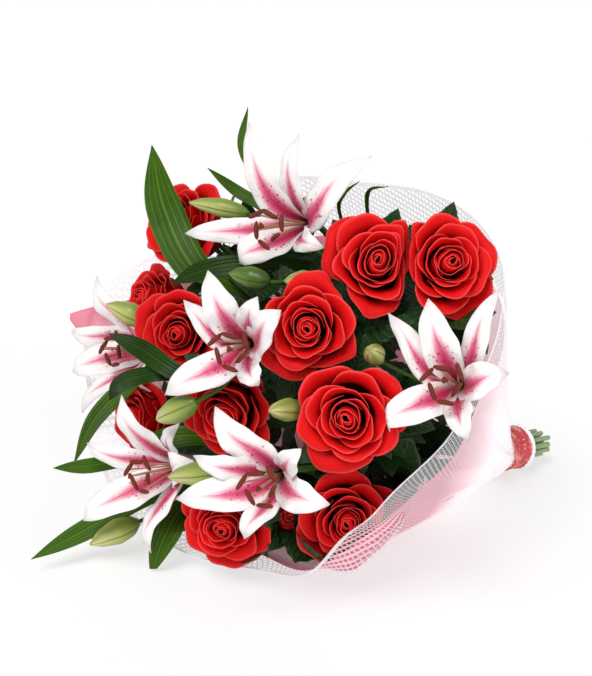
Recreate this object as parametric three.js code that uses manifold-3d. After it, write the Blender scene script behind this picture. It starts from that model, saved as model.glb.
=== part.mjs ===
// A hand-tied bouquet of twelve red roses and six pink and white lilies, lying on its side.
// Millimetres, +Z up, the surface it lies on at z = 0. The flowers reach towards -Y and
// the cut stems towards +Y.
import * as THREE from "three";
import { mergeVertices } from "three/addons/utils/BufferGeometryUtils.js";
import Module from "manifold-3d";

const wasm = await Module();
wasm.setup();

// Driving dimensions
const TIE_HEIGHT = 25; // middle of the tie above the surface
const BUNCH_SLOPE = 29; // degrees that the bunch of flowers rises from the tie
const TIE_SLOPE = 9; // degrees that the stems rise where they are tied
const TIE_AHEAD = 8; // how far the ribbon sits ahead of the tie's middle, towards the flowers
const SEAT_GAP = 0.3; // clearance between two pieces that rest on each other
const ROSE_STEM_RADIUS = 2.1;
const LILY_STEM_RADIUS = 2.5;
const SHEET_THICKNESS = 0.8;
const WIDE_LEAF = 7.2; // half widths between which a leaf has four rows of faces
const THIN_LEAF = 3;
const LEAF_THICKNESS = 0.8;
const TEPAL_THICKNESS = 0.9;

// Colours and finishes
const finish = (color, roughness, metalness = 0) =>
  new THREE.MeshStandardMaterial({ color, roughness, metalness, side: THREE.DoubleSide });
const ROSE_RED = finish(0xc8100f, 0.55);
const STEM_GREEN = finish(0x4f7a35, 0.6);
const LILY_PINK = finish(0xf3d3da, 0.5);
const ANTHER_BROWN = finish(0x5a2016, 0.7);
const LILY_GREEN = finish(0x3f6a2c, 0.5);
const NET_WHITE = finish(0xe6e3ea, 0.6);
const WRAP_PINK = finish(0xf0a3b6, 0.6);
const RIBBON_RED = finish(0xb4262d, 0.35);
const STRING_STRAW = finish(0xc9b184, 0.8);

// Directions and places
const vec = (x, y, z) => new THREE.Vector3(x, y, z);
const rad = THREE.MathUtils.degToRad;
const TAU = 2 * Math.PI;

// Unit direction: azimuth 0 looks along -Y and grows towards +X
function heading(azimuth, elevation) {
  const level = Math.cos(rad(elevation));
  return vec(Math.sin(rad(azimuth)) * level, -Math.cos(rad(azimuth)) * level, Math.sin(rad(elevation)));
}

const TIE = vec(0, 0, TIE_HEIGHT);
const BUNCH_AXIS = heading(0, BUNCH_SLOPE);
const TIE_AXIS = heading(0, TIE_SLOPE);
const RIGHT = vec(1, 0, 0);

// Direction across an axis, at a turn round it: 0 right, 90 up, 180 left
function across(axis, turn) {
  const up = RIGHT.clone().cross(axis).negate();
  return RIGHT.clone().multiplyScalar(Math.cos(rad(turn))).addScaledVector(up, Math.sin(rad(turn)));
}

// A place in the bunch: degrees off its axis, turn round it, and reach from the tie
function spot(off, turn, reach) {
  const direction = BUNCH_AXIS.clone().multiplyScalar(Math.cos(rad(off)));
  direction.addScaledVector(across(BUNCH_AXIS, turn), Math.sin(rad(off)));
  return direction.multiplyScalar(reach).add(TIE);
}

// Frame whose z is the way a flower faces and whose y is as near up as it can be
function flowerFrame(place, faces, spin = 0) {
  const z = faces.clone().normalize();
  const x = vec(0, 0, 1).cross(z).normalize();
  const y = z.clone().cross(x);
  const frame = new THREE.Matrix4().makeBasis(x, y, z).setPosition(place);
  return frame.multiply(new THREE.Matrix4().makeRotationZ(rad(spin)));
}

// Solids
// Moves every vertex of a closed geometry by a rule, then joins the shared ones
function mould(geometry, rule) {
  const source = geometry.attributes.position;
  const points = new Float32Array(source.count * 3);
  for (let i = 0; i < source.count; i += 1) {
    rule(vec(source.getX(i), source.getY(i), source.getZ(i)), i).toArray(points, i * 3);
  }
  const moved = new THREE.BufferGeometry();
  moved.setAttribute("position", new THREE.BufferAttribute(points, 3));
  moved.setIndex(geometry.index);
  return closed(moved);
}

// Joins shared vertices, drops flat triangles and turns the faces outwards
function closed(geometry) {
  const welded = mergeVertices(geometry, 1e-4);
  const index = welded.index.array;
  const kept = [];
  for (let i = 0; i < index.length; i += 3) {
    const [a, b, c] = index.slice(i, i + 3);
    if (a !== b && b !== c && c !== a) kept.push(a, b, c);
  }
  const place = (i) => vec().fromBufferAttribute(welded.attributes.position, i);
  let volume = 0;
  for (let i = 0; i < kept.length; i += 3) {
    volume += place(kept[i]).dot(place(kept[i + 1]).cross(place(kept[i + 2])));
  }
  if (volume < 0) kept.reverse();
  welded.setIndex(kept);
  return welded;
}

function toSolid(geometry) {
  const mesh = new wasm.Mesh({
    numProp: 3,
    vertProperties: new Float32Array(geometry.attributes.position.array),
    triVerts: new Uint32Array(geometry.index.array),
  });
  return new wasm.Manifold(mesh);
}

// Joins several closed geometries that run into each other into one, filling any hollow that
// the join seals and dropping any scrap that it cuts loose
function fuse(geometries) {
  const union = geometries.map(toSolid).reduce((whole, piece) => whole.add(piece));
  const joined = union.decompose().sort((a, b) => b.volume() - a.volume())[0].getMesh();
  const fused = new THREE.BufferGeometry();
  fused.setAttribute("position", new THREE.BufferAttribute(joined.vertProperties, 3));
  fused.setIndex(new THREE.BufferAttribute(joined.triVerts, 1));
  return fused;
}

// Round bar through a list of points, with one radius for each point
function bar(points, radii, sides) {
  const rows = points.length - 1;
  const frames = [];
  let side = null;
  points.forEach((point, i) => {
    const along = points[Math.min(i + 1, rows)].clone().sub(points[Math.max(i - 1, 0)]).normalize();
    if (!side) side = Math.abs(along.z) > 0.9 ? vec(1, 0, 0) : vec(0, 0, 1);
    side = side.clone().addScaledVector(along, -side.dot(along)).normalize();
    frames.push([side, along.clone().cross(side)]);
  });
  const core = new THREE.CylinderGeometry(1, 1, 1, sides, rows);
  return mould(core, (p) => {
    const row = Math.round((p.y + 0.5) * rows);
    const [u, v] = frames[row];
    return points[row].clone().addScaledVector(u, p.x * radii[row]).addScaledVector(v, p.z * radii[row]);
  });
}

// Flat slab two columns wide, x from -1 to 1, y from 0 to 1 and z from -0.5 to 0.5, whose two
// faces are split alike, so that they never cross when it is bent
function slab(rows) {
  const points = [];
  const faces = [];
  const at = (side, row, column) => (side * (rows + 1) + row) * 3 + column;
  for (const z of [-0.5, 0.5]) {
    for (let row = 0; row <= rows; row += 1) [-1, 0, 1].forEach((x) => points.push(x, row / rows, z));
  }
  const square = (a, b, c, d) => faces.push(a, b, c, a, c, d);
  for (let row = 0; row < rows; row += 1) {
    for (const column of [0, 1]) {
      const corners = [[row, column], [row, column + 1], [row + 1, column + 1], [row + 1, column]];
      const [a, b, c, d] = corners.map(([r, k]) => at(1, r, k));
      const [e, f, g, h] = corners.map(([r, k]) => at(0, r, k));
      faces.push(a, b, c, a, c, d, e, g, f, e, h, g);
    }
    square(at(0, row, 0), at(1, row, 0), at(1, row + 1, 0), at(0, row + 1, 0));
    square(at(1, row, 2), at(0, row, 2), at(0, row + 1, 2), at(1, row + 1, 2));
  }
  for (const column of [0, 1]) {
    square(at(1, 0, column), at(0, 0, column), at(0, 0, column + 1), at(1, 0, column + 1));
    square(at(0, rows, column), at(1, rows, column), at(1, rows, column + 1), at(0, rows, column + 1));
  }
  const geometry = new THREE.BufferGeometry();
  geometry.setAttribute("position", new THREE.Float32BufferAttribute(points, 3));
  geometry.setIndex(faces);
  return geometry;
}

// Thin blade along a curve. The rule width(t) is half its width, rise(t, x) lifts it off the
// curve along its face, and clear(point) bends it round its neighbours.
function blade({ curve, face, width, rise = () => 0, thickness, rows, clear = (p) => p }) {
  return mould(slab(rows), (p) => {
    const t = p.y;
    const along = curve.getTangent(t);
    const side = along.clone().cross(face).normalize();
    const normal = side.clone().cross(along).normalize();
    const middle = curve.getPoint(t).addScaledVector(side, p.x * width(t));
    middle.addScaledVector(normal, rise(t, p.x));
    return clear(middle).addScaledVector(normal, p.z * thickness);
  });
}

const bend = (...points) =>
  points.length === 3 ? new THREE.QuadraticBezierCurve3(...points) : new THREE.CubicBezierCurve3(...points);

// Roses
// off, turn and reach place the middle of each bloom, radius is its size and faces its heading
const ROSES = [
  { off: 20.5, turn: 58, reach: 330, radius: 38, faces: [50, 30], slot: [2, 72] },
  { off: 28, turn: 50, reach: 321, radius: 38, faces: [62, 26], slot: [2, 40] },
  { off: 10.5, turn: 38, reach: 344, radius: 37, faces: [44, 20], slot: [1, 40] },
  { off: 17.5, turn: 356, reach: 337, radius: 39, faces: [45, 16], slot: [1, 350] },
  { off: 17.5, turn: 182, reach: 331, radius: 36, faces: [34, 12], slot: [1, 165] },
  { off: 29.5, turn: 178, reach: 339, radius: 32, faces: [-12, 26], slot: [2, 158] },
  { off: 29.5, turn: 155, reach: 350, radius: 39, faces: [0, 36], slot: [2, 128] },
  { off: 7, turn: 262, reach: 331, radius: 36, faces: [34, 4], slot: [1, 230] },
  { off: 28, turn: 212, reach: 330, radius: 33, faces: [2, 7], slot: [2, 220] },
  { off: 23, turn: 267, reach: 311, radius: 36, faces: [36, 2], slot: [2, 280] },
  { off: 23.5, turn: 308, reach: 266, radius: 38, faces: [50, 10], slot: [2, 338] },
  { off: 21, turn: 281, reach: 268, radius: 27, faces: [40, -4], slot: [2, 305] },
];

// Rings of petals from the outside in: rim radius and height as parts of the bloom's radius
const PETAL_RINGS = [
  { rim: 0.95, height: 0.1, petals: 5 },
  { rim: 0.76, height: 0.36, petals: 5 },
  { rim: 0.56, height: 0.5, petals: 5 },
  { rim: 0.36, height: 0.56, petals: 3 },
];
const ROSE_BUD = { radius: 0.19, height: 0.6 }; // furled petals in the middle
const ROSE_COLUMNS = 15;
const ROSE_BACK = 0.74; // depth of the bloom behind its middle, as a part of its radius
const LIP = 0.04; // thickness of a petal's rim
const VALLEY = 0.12; // depth behind a rim
const PINWHEEL = 0.17; // how far each petal starts outside the one before it

// Each petal of a ring starts outside the one before it, so the rims wind like a pinwheel
function petalSwell(ring, number, angle) {
  const part = (angle / TAU) * ring.petals + number * 0.41;
  const along = part - Math.floor(part);
  return 1 + PINWHEEL * (0.5 - along) + 0.04 * Math.sin(Math.PI * along);
}

// Rows of the bloom's outline as rules of radius and height at an angle, from back to middle
function roseRows() {
  const rows = [() => [0, -ROSE_BACK], () => [0.2, -ROSE_BACK + 0.02], () => [0.6, -0.42]];
  PETAL_RINGS.forEach((ring, k) => {
    const swell = (angle) => petalSwell(ring, k, angle);
    const inner = PETAL_RINGS[k + 1];
    rows.push((angle) => [ring.rim * swell(angle), ring.height - 0.09]);
    rows.push((angle) => [ring.rim * swell(angle) - LIP, ring.height + 0.5 * (swell(angle) - 1)]);
    rows.push((angle) => {
      const radius = inner ? inner.rim * petalSwell(inner, k + 1, angle) + 0.02 : ROSE_BUD.radius;
      return [radius, ring.height - VALLEY];
    });
  });
  rows.push(() => [0, ROSE_BUD.height]);
  return rows;
}

const roseMiddle = (rose) => spot(rose.off, rose.turn, rose.reach);
const roseBase = (rose) =>
  roseMiddle(rose).addScaledVector(heading(...rose.faces), -rose.radius * ROSE_BACK - SEAT_GAP);

// Flat limits between one bloom and each neighbour that its round form would run into
function pressedBy(middle, radius, neighbours) {
  return neighbours.flatMap((other) => {
    const towards = other.middle.clone().sub(middle);
    const distance = towards.length();
    if (distance < 1 || distance > radius + other.radius + 1) return [];
    const limit = (distance ** 2 + radius ** 2 - other.radius ** 2) / (2 * distance) - 0.4;
    return [{ normal: towards.normalize(), limit }];
  });
}

// Draws a point in along its ray from the middle, so that it stays inside every limit
function pressIn(point, middle, radius, limits) {
  const ray = point.clone().sub(middle);
  const length = ray.length();
  if (length < 1e-6) return point;
  const unit = ray.divideScalar(length);
  let room = radius;
  limits.forEach(({ normal, limit }) => {
    const lean = unit.dot(normal);
    if (lean > 1e-3) room = Math.min(room, limit / lean);
  });
  const still = 0.5 * room;
  const drawn = length <= still ? length : still + ((length - still) * (room - still)) / (radius - still);
  return middle.clone().addScaledVector(unit, drawn);
}

const ROSE_SWELL = 1.08; // reach of the widest petal as a part of the radius
const bloomBalls = ROSES.map((rose) => ({ middle: roseMiddle(rose), radius: rose.radius * ROSE_SWELL }));

function roseHead(rose, number, throats) {
  const frame = flowerFrame(roseMiddle(rose), heading(...rose.faces), number * 47);
  const back = frame.clone().invert();
  const ball = bloomBalls[number];
  const others = bloomBalls.filter((other) => other !== ball).concat(throats);
  const limits = pressedBy(ball.middle, ball.radius, others);
  const rows = roseRows();
  const outline = rows.map((row) => new THREE.Vector2(row(0)[0] > 0 ? 1 : 0, 0));
  const lathe = new THREE.LatheGeometry(outline, ROSE_COLUMNS);
  const geometry = mould(lathe, (p, i) => {
    const angle = (Math.floor(i / rows.length) / ROSE_COLUMNS) * TAU;
    const [radius, height] = rows[i % rows.length](angle % TAU);
    const local = vec(Math.cos(angle) * radius, Math.sin(angle) * radius, height);
    local.multiplyScalar(rose.radius);
    const pressed = pressIn(local.applyMatrix4(frame), ball.middle, ball.radius, limits);
    return pressed.applyMatrix4(back);
  });
  const mesh = new THREE.Mesh(geometry, ROSE_RED);
  mesh.applyMatrix4(frame);
  return mesh;
}

// Presses a point out of the rounded form of every rose, so that a blade lies over the blooms
const FRONT_DEPTH = 0.66; // depth of a bloom in front of its middle, as a part of its radius
const BACK_DEPTH = 0.85;
// How far the middle of a tepal, a leaf or a bud's stalk stays off a bloom
const TEPAL_CLEAR = 2.6;
const LEAF_CLEAR = 3.6;
const STALK_CLEAR = 5;
const LOWEST_BLADE = 3; // height of the lowest leaf's middle above the surface
function offRoses(point, clearance) {
  const moved = point.clone();
  ROSES.forEach((rose) => {
    const frame = flowerFrame(roseMiddle(rose), heading(...rose.faces));
    const local = moved.clone().applyMatrix4(frame.clone().invert());
    const depth = local.z > 0 ? FRONT_DEPTH : BACK_DEPTH;
    const round = vec(local.x, local.y, local.z / depth).length();
    const wanted = rose.radius * 1.02 + clearance;
    if (round < wanted) moved.copy(local.multiplyScalar(wanted / round).applyMatrix4(frame));
  });
  if (moved.z < LOWEST_BLADE) moved.z = LOWEST_BLADE;
  return moved;
}

// Stems
// Each stem has a slot in the tied bundle: a ring number, and a turn round the middle
const SLOT_RINGS = [0, 5.5, 10.2];
const slotPlace = ([ring, turn], along) =>
  TIE.clone().addScaledVector(across(TIE_AXIS, turn), SLOT_RINGS[ring]).addScaledVector(TIE_AXIS, along);
const STRAIGHT = 16; // half of the length that the stems run side by side in the tie
const BOW = 70; // how long a stem keeps its heading beyond the tie
const NECK_BOW = 36; // length over which it turns to its flower's heading

// Bend of a stem from the tie to a flower's base, meeting the flower in its own heading
function stemBend(slot, base, faces) {
  const start = slotPlace(slot, STRAIGHT);
  return bend(start, slotPlace(slot, STRAIGHT + BOW), base.clone().addScaledVector(faces, -NECK_BOW), base);
}

function stemBar(slot, curve, radius, tail, rows) {
  const points = [slotPlace(slot, -tail), slotPlace(slot, -STRAIGHT), ...curve.getPoints(rows)];
  const end = points.at(-1);
  points.splice(-1, 0, end.clone().addScaledVector(curve.getTangent(1), -3));
  return bar(points, points.map(() => radius), 5);
}

const HIP = { radius: 6, foot: 2.6, length: 8 };
const SEPAL = { reach: 19, drop: 13, thickness: 1.2 };
const tailLength = (number) => 30 + ((number * 5) % 9);

// Swollen top of the stem with the five pointed sepals bent back round it, as one star
function calyx(base, faces, spin) {
  const frame = flowerFrame(base, faces, spin);
  const rows = [[0, -HIP.length], [HIP.foot, -HIP.length], [HIP.radius * 0.8, -HIP.length * 0.5],
    [HIP.radius, -SEPAL.thickness], [0, 0]];
  const outline = rows.map(([radius]) => new THREE.Vector2(radius > 0 ? 1 : 0, 0));
  const lathe = new THREE.LatheGeometry(outline, 10);
  return mould(lathe, (p, i) => {
    const column = Math.floor(i / rows.length) % 10;
    const [radius, height] = rows[i % rows.length];
    const pointed = column % 2 === 0 && (i % rows.length === 3);
    const out = pointed ? SEPAL.reach : radius;
    const angle = (column / 10) * TAU;
    const local = vec(Math.cos(angle) * out, Math.sin(angle) * out, pointed ? -SEPAL.drop : height);
    return local.applyMatrix4(frame);
  });
}

function roseStem(rose, number) {
  const faces = heading(...rose.faces);
  const base = roseBase(rose);
  const foot = base.clone().addScaledVector(faces, 1 - HIP.length);
  const curve = stemBend(rose.slot, foot, faces);
  const stem = stemBar(rose.slot, curve, ROSE_STEM_RADIUS, tailLength(number), 4);
  return new THREE.Mesh(fuse([stem, calyx(base, faces, number * 31)]), STEM_GREEN);
}

// Lilies
// off, turn and reach place the mouth of each bloom. Each tepal has the turn of its tip round
// the bloom (0 up, 90 left), its lift forward of the mouth and its reach from the middle.
const LILIES = [
  { off: 15.5, turn: 91, reach: 367, faces: [15, 12], slot: [1, 100],
    tepals: [[31, -2, 82], [104, 14, 80], [136, 0, 50], [257, 4, 44], [319, -20, 85], [358, -2, 70]] },
  { off: 4, turn: 14, reach: 375, faces: [35, 16], slot: [0, 0],
    tepals: [[26, 0, 60], [60, -16, 62], [127, -8, 71], [222, 24, 38], [313, 12, 47], [338, 18, 46]] },
  { off: 28.5, turn: 14, reach: 346, faces: [31, 24], slot: [2, 8],
    tepals: [[22, 0, 62], [51, -10, 73], [128, 0, 60], [208, 14, 45], [288, -8, 43], [340, 0, 75]] },
  { off: 17, turn: 317, reach: 365, faces: [33, 15], slot: [1, 290],
    tepals: [[44, -8, 68], [78, 2, 60], [108, -2, 72], [160, -8, 52], [262, 12, 52], [318, 26, 48]] },
  { off: 20, turn: 244, reach: 353, faces: [5, 9], slot: [2, 250],
    tepals: [[36, 10, 65], [84, 22, 66], [138, 24, 76], [178, 0, 72], [298, 5, 50], [346, -8, 46]] },
  { off: 29, turn: 193, reach: 351, faces: [-2, 14], slot: [2, 189],
    tepals: [[48, 8, 72], [92, 20, 66], [125, 18, 64], [162, 22, 70], [210, -16, 46], [290, 4, 42]] },
];
const FUNNEL = { depth: 39.5, foot: 4.6, waist: 8.5, waistDepth: 14, arch: 17 };
const TEPAL_WIDTHS = [13.5, 9]; // half widths of the broad and the narrow tepals
const LAYERS = [-1.3, 1.3]; // the broad ones stand inside the narrow ones
const CURL = 2.6; // how far a tepal's edges curl back
const lilyMouth = (lily) => spot(lily.off, lily.turn, lily.reach);
const lilyFrame = (lily) => flowerFrame(lilyMouth(lily), heading(...lily.faces));
const RECEPTACLE = { top: 5.4, bottom: 3, height: 5 };
const lilyFoot = (lily) =>
  lilyMouth(lily).addScaledVector(heading(...lily.faces), -FUNNEL.depth - RECEPTACLE.height + 2 - SEAT_GAP);
const throats = LILIES.map((lily) => ({
  middle: lilyMouth(lily).addScaledVector(heading(...lily.faces), -FUNNEL.depth * 0.6), radius: 13,
}));

const tepalWidth = (t) =>
  t < 0.5 ? 0.2 + 0.8 * Math.sin(Math.PI * t) : Math.max(0.04, 1 - (2 * t - 1) ** 2.3);

function tepal([turn, lift, reach], footTurn, narrow, frame) {
  const far = reach * Math.cos(rad(lift));
  const high = reach * Math.sin(rad(lift));
  const line = bend(vec(FUNNEL.foot, -FUNNEL.depth, 0), vec(FUNNEL.waist, -FUNNEL.waistDepth, 0),
    vec(far * 0.5, high * 0.5 + FUNNEL.arch, 0), vec(far, high, 0));
  return mould(slab(5), (p) => {
    const along = line.getTangent(p.y);
    const middle = line.getPoint(p.y);
    const width = TEPAL_WIDTHS[narrow] * tepalWidth(p.y);
    const settled = THREE.MathUtils.smoothstep(p.y, 0.1, 0.8);
    const swing = rad(footTurn + (turn - footTurn) * settled) + (p.x * width) / Math.max(middle.x, 6);
    const curl = CURL * p.x * p.x * Math.sin(Math.PI * Math.max(0, p.y - 0.25) / 0.75);
    const place = (off) => {
      const radius = middle.x + along.y * off;
      return vec(-Math.sin(swing) * radius, Math.cos(swing) * radius, middle.y - along.x * off);
    };
    const centre = place(LAYERS[narrow] + curl).applyMatrix4(frame);
    const half = place(LAYERS[narrow] + curl + p.z * TEPAL_THICKNESS).applyMatrix4(frame).sub(centre);
    return offRoses(centre, TEPAL_CLEAR).add(half);
  });
}

function lilyBloom(lily) {
  const frame = lilyFrame(lily);
  const first = lily.tepals.reduce((sum, [turn], k) => sum + turn - 60 * k, 0) / 6;
  const tepals = lily.tepals.map((shape, k) => tepal(shape, first + 60 * k, k % 2, frame));
  const cup = new THREE.CylinderGeometry(RECEPTACLE.top, RECEPTACLE.bottom, RECEPTACLE.height, 6);
  cup.rotateX(Math.PI / 2).translate(0, 0, -FUNNEL.depth + 2 - RECEPTACLE.height / 2);
  const receptacle = mould(cup, (p) => p.applyMatrix4(frame));
  return new THREE.Mesh(fuse([receptacle, ...tepals]), LILY_PINK);
}

const STAMEN = { root: -36, mouth: 19, spread: 14, radius: 0.7, anther: 6.5, antherRadius: 1.9 };
const PISTIL = { radius: 1.1, tip: 27, lean: 3, stigma: 2.7 };

function lilyStamens(lily, number) {
  const frame = lilyFrame(lily);
  const inFrame = (geometry) => mould(geometry, (p) => p.applyMatrix4(frame));
  const knob = new THREE.CylinderGeometry(1.7, 1.9, 4, 5).rotateX(Math.PI / 2);
  const pieces = [inFrame(knob.translate(0, 0, STAMEN.root + 1.5))];
  for (let k = 0; k < 6; k += 1) {
    const angle = rad(k * 60 + 24 + number * 9);
    const out = (radius, height) => vec(Math.cos(angle) * radius, Math.sin(angle) * radius, height);
    const spread = STAMEN.spread * (k % 2 ? 0.75 : 1);
    const points = [out(0.8, STAMEN.root), out(spread, STAMEN.mouth)];
    pieces.push(inFrame(bar(points, points.map(() => STAMEN.radius), 3)));
    const anther = new THREE.OctahedronGeometry(1);
    anther.scale(STAMEN.antherRadius, STAMEN.anther, STAMEN.antherRadius);
    anther.rotateX(rad(25)).rotateZ(angle + rad(14 * (k % 3))).translate(...out(spread, STAMEN.mouth));
    pieces.push(inFrame(anther));
  }
  const style = [vec(0, 0, STAMEN.root), vec(PISTIL.lean, 2, PISTIL.tip)];
  pieces.push(inFrame(bar(style, style.map(() => PISTIL.radius), 3)));
  const stigma = new THREE.OctahedronGeometry(PISTIL.stigma).translate(PISTIL.lean, 2, PISTIL.tip);
  pieces.push(inFrame(stigma));
  return new THREE.Mesh(fuse(pieces), ANTHER_BROWN);
}

// Buds and leaves, by the lily whose stem they grow on. fork is where on the stem they start,
// and each list is off, turn and reach in the bunch.
const BUDS = [
  { lily: 0, fork: 0.62, base: [22.5, 130, 339], tip: [24.5, 144, 372], radius: 8 },
  { lily: 0, fork: 0.7, base: [9.5, 90, 348], tip: [9.5, 119, 363], radius: 9 },
  { lily: 0, fork: 0.66, base: [13, 74, 327], tip: [10.5, 80, 347], radius: 8.5 },
  { lily: 1, fork: 0.66, base: [11, 343, 332], tip: [11, 339, 367], radius: 9 },
  { lily: 2, fork: 0.68, base: [18, 21, 322], tip: [19, 21, 352], radius: 8 },
  { lily: 3, fork: 0.7, base: [14, 292, 355], tip: [17, 259, 363], radius: 9.5 },
  { lily: 1, fork: 0.72, base: [6.5, 272, 371], tip: [13, 237, 366], radius: 10 },
  { lily: 4, fork: 0.66, base: [32, 240, 346], tip: [33, 242, 388], radius: 11 },
  { lily: 5, fork: 0.75, base: [22.5, 184, 349], tip: [25.5, 183, 383], radius: 10 },
];
const BUD_PARTS = [0, 0.15, 0.45, 0.8, 1];
const BUD_RADII = [0.3, 0.8, 1, 0.6, 0.08];
const PEDICEL_RADIUS = 1.5;

const LEAVES = [
  { lily: 0, fork: 0.5, by: [18, 158, 332], over: [25, 151, 381], tip: [29, 143, 417], half: 15 },
  { lily: 0, fork: 0.72, by: [12, 112, 346], over: [11, 138, 368], tip: [13, 160, 373], half: 8 },
  { lily: 0, fork: 0.55, by: [27, 132, 322], over: [29, 137, 343], tip: [30, 139, 371], half: 5 },
  { lily: 0, fork: 0.6, by: [27, 126, 341], over: [30.5, 128, 368], tip: [35, 126, 384], half: 4 },
  { lily: 0, fork: 0.5, by: [24, 98, 315], over: [25, 93, 330], tip: [26.5, 87, 340], half: 1.6 },
  { lily: 0, fork: 0.45, by: [26, 90, 310], over: [27, 87, 326], tip: [28, 79, 336], half: 1.6 },
  { lily: 5, fork: 0.5, by: [11, 211, 342], over: [16, 196, 366], tip: [24, 191, 377], half: 8 },
  { lily: 5, fork: 0.45, by: [14, 207, 352], over: [20, 208, 368], tip: [25, 210, 366], half: 7 },
  { lily: 5, fork: 0.6, by: [24, 199, 332], over: [27, 213, 371], tip: [29, 225, 391], half: 7.5 },
  { lily: 4, fork: 0.55, by: [16, 236, 318], over: [18.5, 232, 340], tip: [25, 225, 347], half: 8.5 },
  { lily: 4, fork: 0.5, by: [29, 236, 330], over: [32.5, 239, 391], tip: [34, 241, 434], half: 8.5 },
  { lily: 4, fork: 0.58, by: [27, 227, 350], over: [28, 227, 385], tip: [29, 226, 408], half: 6 },
  { lily: 4, fork: 0.5, by: [27.5, 245, 316], over: [29, 251, 339], tip: [35, 252, 351], half: 11 },
];
const leafWidth = (t) =>
  t < 0.6 ? 0.12 + 0.88 * Math.sin((Math.PI * t) / 1.2) : Math.max(0.03, 1 - ((t - 0.6) / 0.4) ** 1.8);
const LEAF_KEEL = 1.4; // how far a leaf's edges stand above its midrib
const LEAF_FACES = heading(50, 30);

function bud({ base, tip, radius, fork }, stem) {
  const foot = spot(...base);
  const end = spot(...tip);
  const along = end.clone().sub(foot).normalize();
  const middles = BUD_PARTS.map((part) => foot.clone().lerp(end, part));
  const body = bar(middles, BUD_RADII.map((part) => part * radius), 6);
  const start = stem.getPoint(fork);
  const stalk = bend(start, start.clone().addScaledVector(stem.getTangent(fork), 30),
    foot.clone().addScaledVector(along, -22), foot.clone().addScaledVector(along, 3));
  const points = [0, 0.25, 0.5, 0.75, 1].map((t) => offRoses(stalk.getPoint(t), STALK_CLEAR));
  return [body, bar(points, points.map(() => PEDICEL_RADIUS), 4)];
}

function leaf({ fork, by, over, tip, half }, stem) {
  const curve = new THREE.CatmullRomCurve3([stem.getPoint(fork), spot(...by), spot(...over), spot(...tip)]);
  return blade({
    curve,
    face: LEAF_FACES,
    width: (t) => half * leafWidth(t),
    rise: (t, x) => LEAF_KEEL * Math.abs(x) * leafWidth(t),
    thickness: LEAF_THICKNESS,
    rows: half > WIDE_LEAF ? 5 : half > THIN_LEAF ? 4 : 3,
    clear: (point) => offRoses(point, LEAF_CLEAR),
  });
}

function lilyStem(lily, number) {
  const curve = stemBend(lily.slot, lilyFoot(lily), heading(...lily.faces));
  const pieces = [stemBar(lily.slot, curve, LILY_STEM_RADIUS, tailLength(number + 4), 5)];
  BUDS.filter((one) => one.lily === number).forEach((one) => pieces.push(...bud(one, curve)));
  LEAVES.filter((one) => one.lily === number).forEach((one) => pieces.push(leaf(one, curve)));
  return new THREE.Mesh(fuse(pieces), LILY_GREEN);
}

// Wrap
// Rim of the wrap at every 15 degrees round the bunch: off and reach
const RIM = [
  [28, 300], [29.5, 294], [33, 298], [35, 298], [36, 297], [35, 297], [33, 297], [33, 297],
  [34, 306], [36, 320], [37, 322], [38, 340], [37, 385], [38, 382], [37, 362], [35, 360],
  [33.5, 340], [33, 318], [32, 302], [32.5, 290], [31.5, 294], [30, 300], [26.5, 314], [27, 330],
];
const COLUMNS = RIM.length;
const NECK = { radius: 15.4, flare: 3, tuck: 4, half: 11, opens: 18, spread: 6 };
const BELLY = 14; // how far the sides of the wrap bulge out
const SAG = 40; // how much further it bulges where it lies on the surface
const SHEET_SPACE = 1.6; // between the middles of the two sheets
const WRAP_ROWS = [0.16, 0.4, 0.7, 0.93, 1];
const PINK_ROWS = WRAP_ROWS.length - 1;
const WRAP_LOWEST = (SHEET_SPACE + SHEET_THICKNESS) / 2; // middle of the two sheets where they lie flat

// Middle line of the double wrap at one column, from the gathered end to the rim
function wrapLine(column) {
  const turn = (360 / COLUMNS) * column;
  const [off, reach] = RIM[column];
  const out = across(TIE_AXIS, turn);
  const neck = (along, radius) =>
    TIE.clone().addScaledVector(TIE_AXIS, TIE_AHEAD + along).addScaledVector(out, radius);
  const rim = spot(off, turn, reach);
  const start = neck(NECK.half, NECK.radius);
  const open = neck(NECK.half + NECK.opens, NECK.radius + NECK.spread);
  const bulge = BELLY + SAG * Math.max(0, -Math.sin(rad(turn))) ** 4;
  const belly = start.clone().lerp(rim, 0.5).addScaledVector(across(BUNCH_AXIS, turn), bulge);
  const side = bend(start, open, belly, rim);
  const end = neck(-NECK.half - NECK.tuck, NECK.radius + NECK.flare);
  const line = [end, neck(-NECK.half, NECK.radius), start, ...WRAP_ROWS.map((t) => side.getPoint(t))];
  line.forEach((point) => point.setZ(Math.max(point.z, WRAP_LOWEST)));
  return line;
}

// Triangles of a sheet that closes on itself, split alike on both faces so that they never cross
function sheetFaces(rows) {
  const faces = [];
  const at = (face, row, column) => (face * rows + row) * COLUMNS + (column % COLUMNS);
  const square = (a, b, c, d) => faces.push(a, b, c, a, c, d);
  for (let column = 0; column < COLUMNS; column += 1) {
    const next = column + 1;
    for (let row = 0; row < rows - 1; row += 1) {
      const corners = [[row, column], [row, next], [row + 1, next], [row + 1, column]];
      const [a, b, c, d] = corners.map(([r, k]) => at(1, r, k));
      const [e, f, g, h] = corners.map(([r, k]) => at(0, r, k));
      faces.push(a, b, c, a, c, d, e, g, f, e, h, g);
    }
    square(at(0, 0, column), at(0, 0, next), at(1, 0, next), at(1, 0, column));
    square(at(1, rows - 1, column), at(1, rows - 1, next), at(0, rows - 1, next), at(0, rows - 1, column));
  }
  return faces;
}

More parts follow.
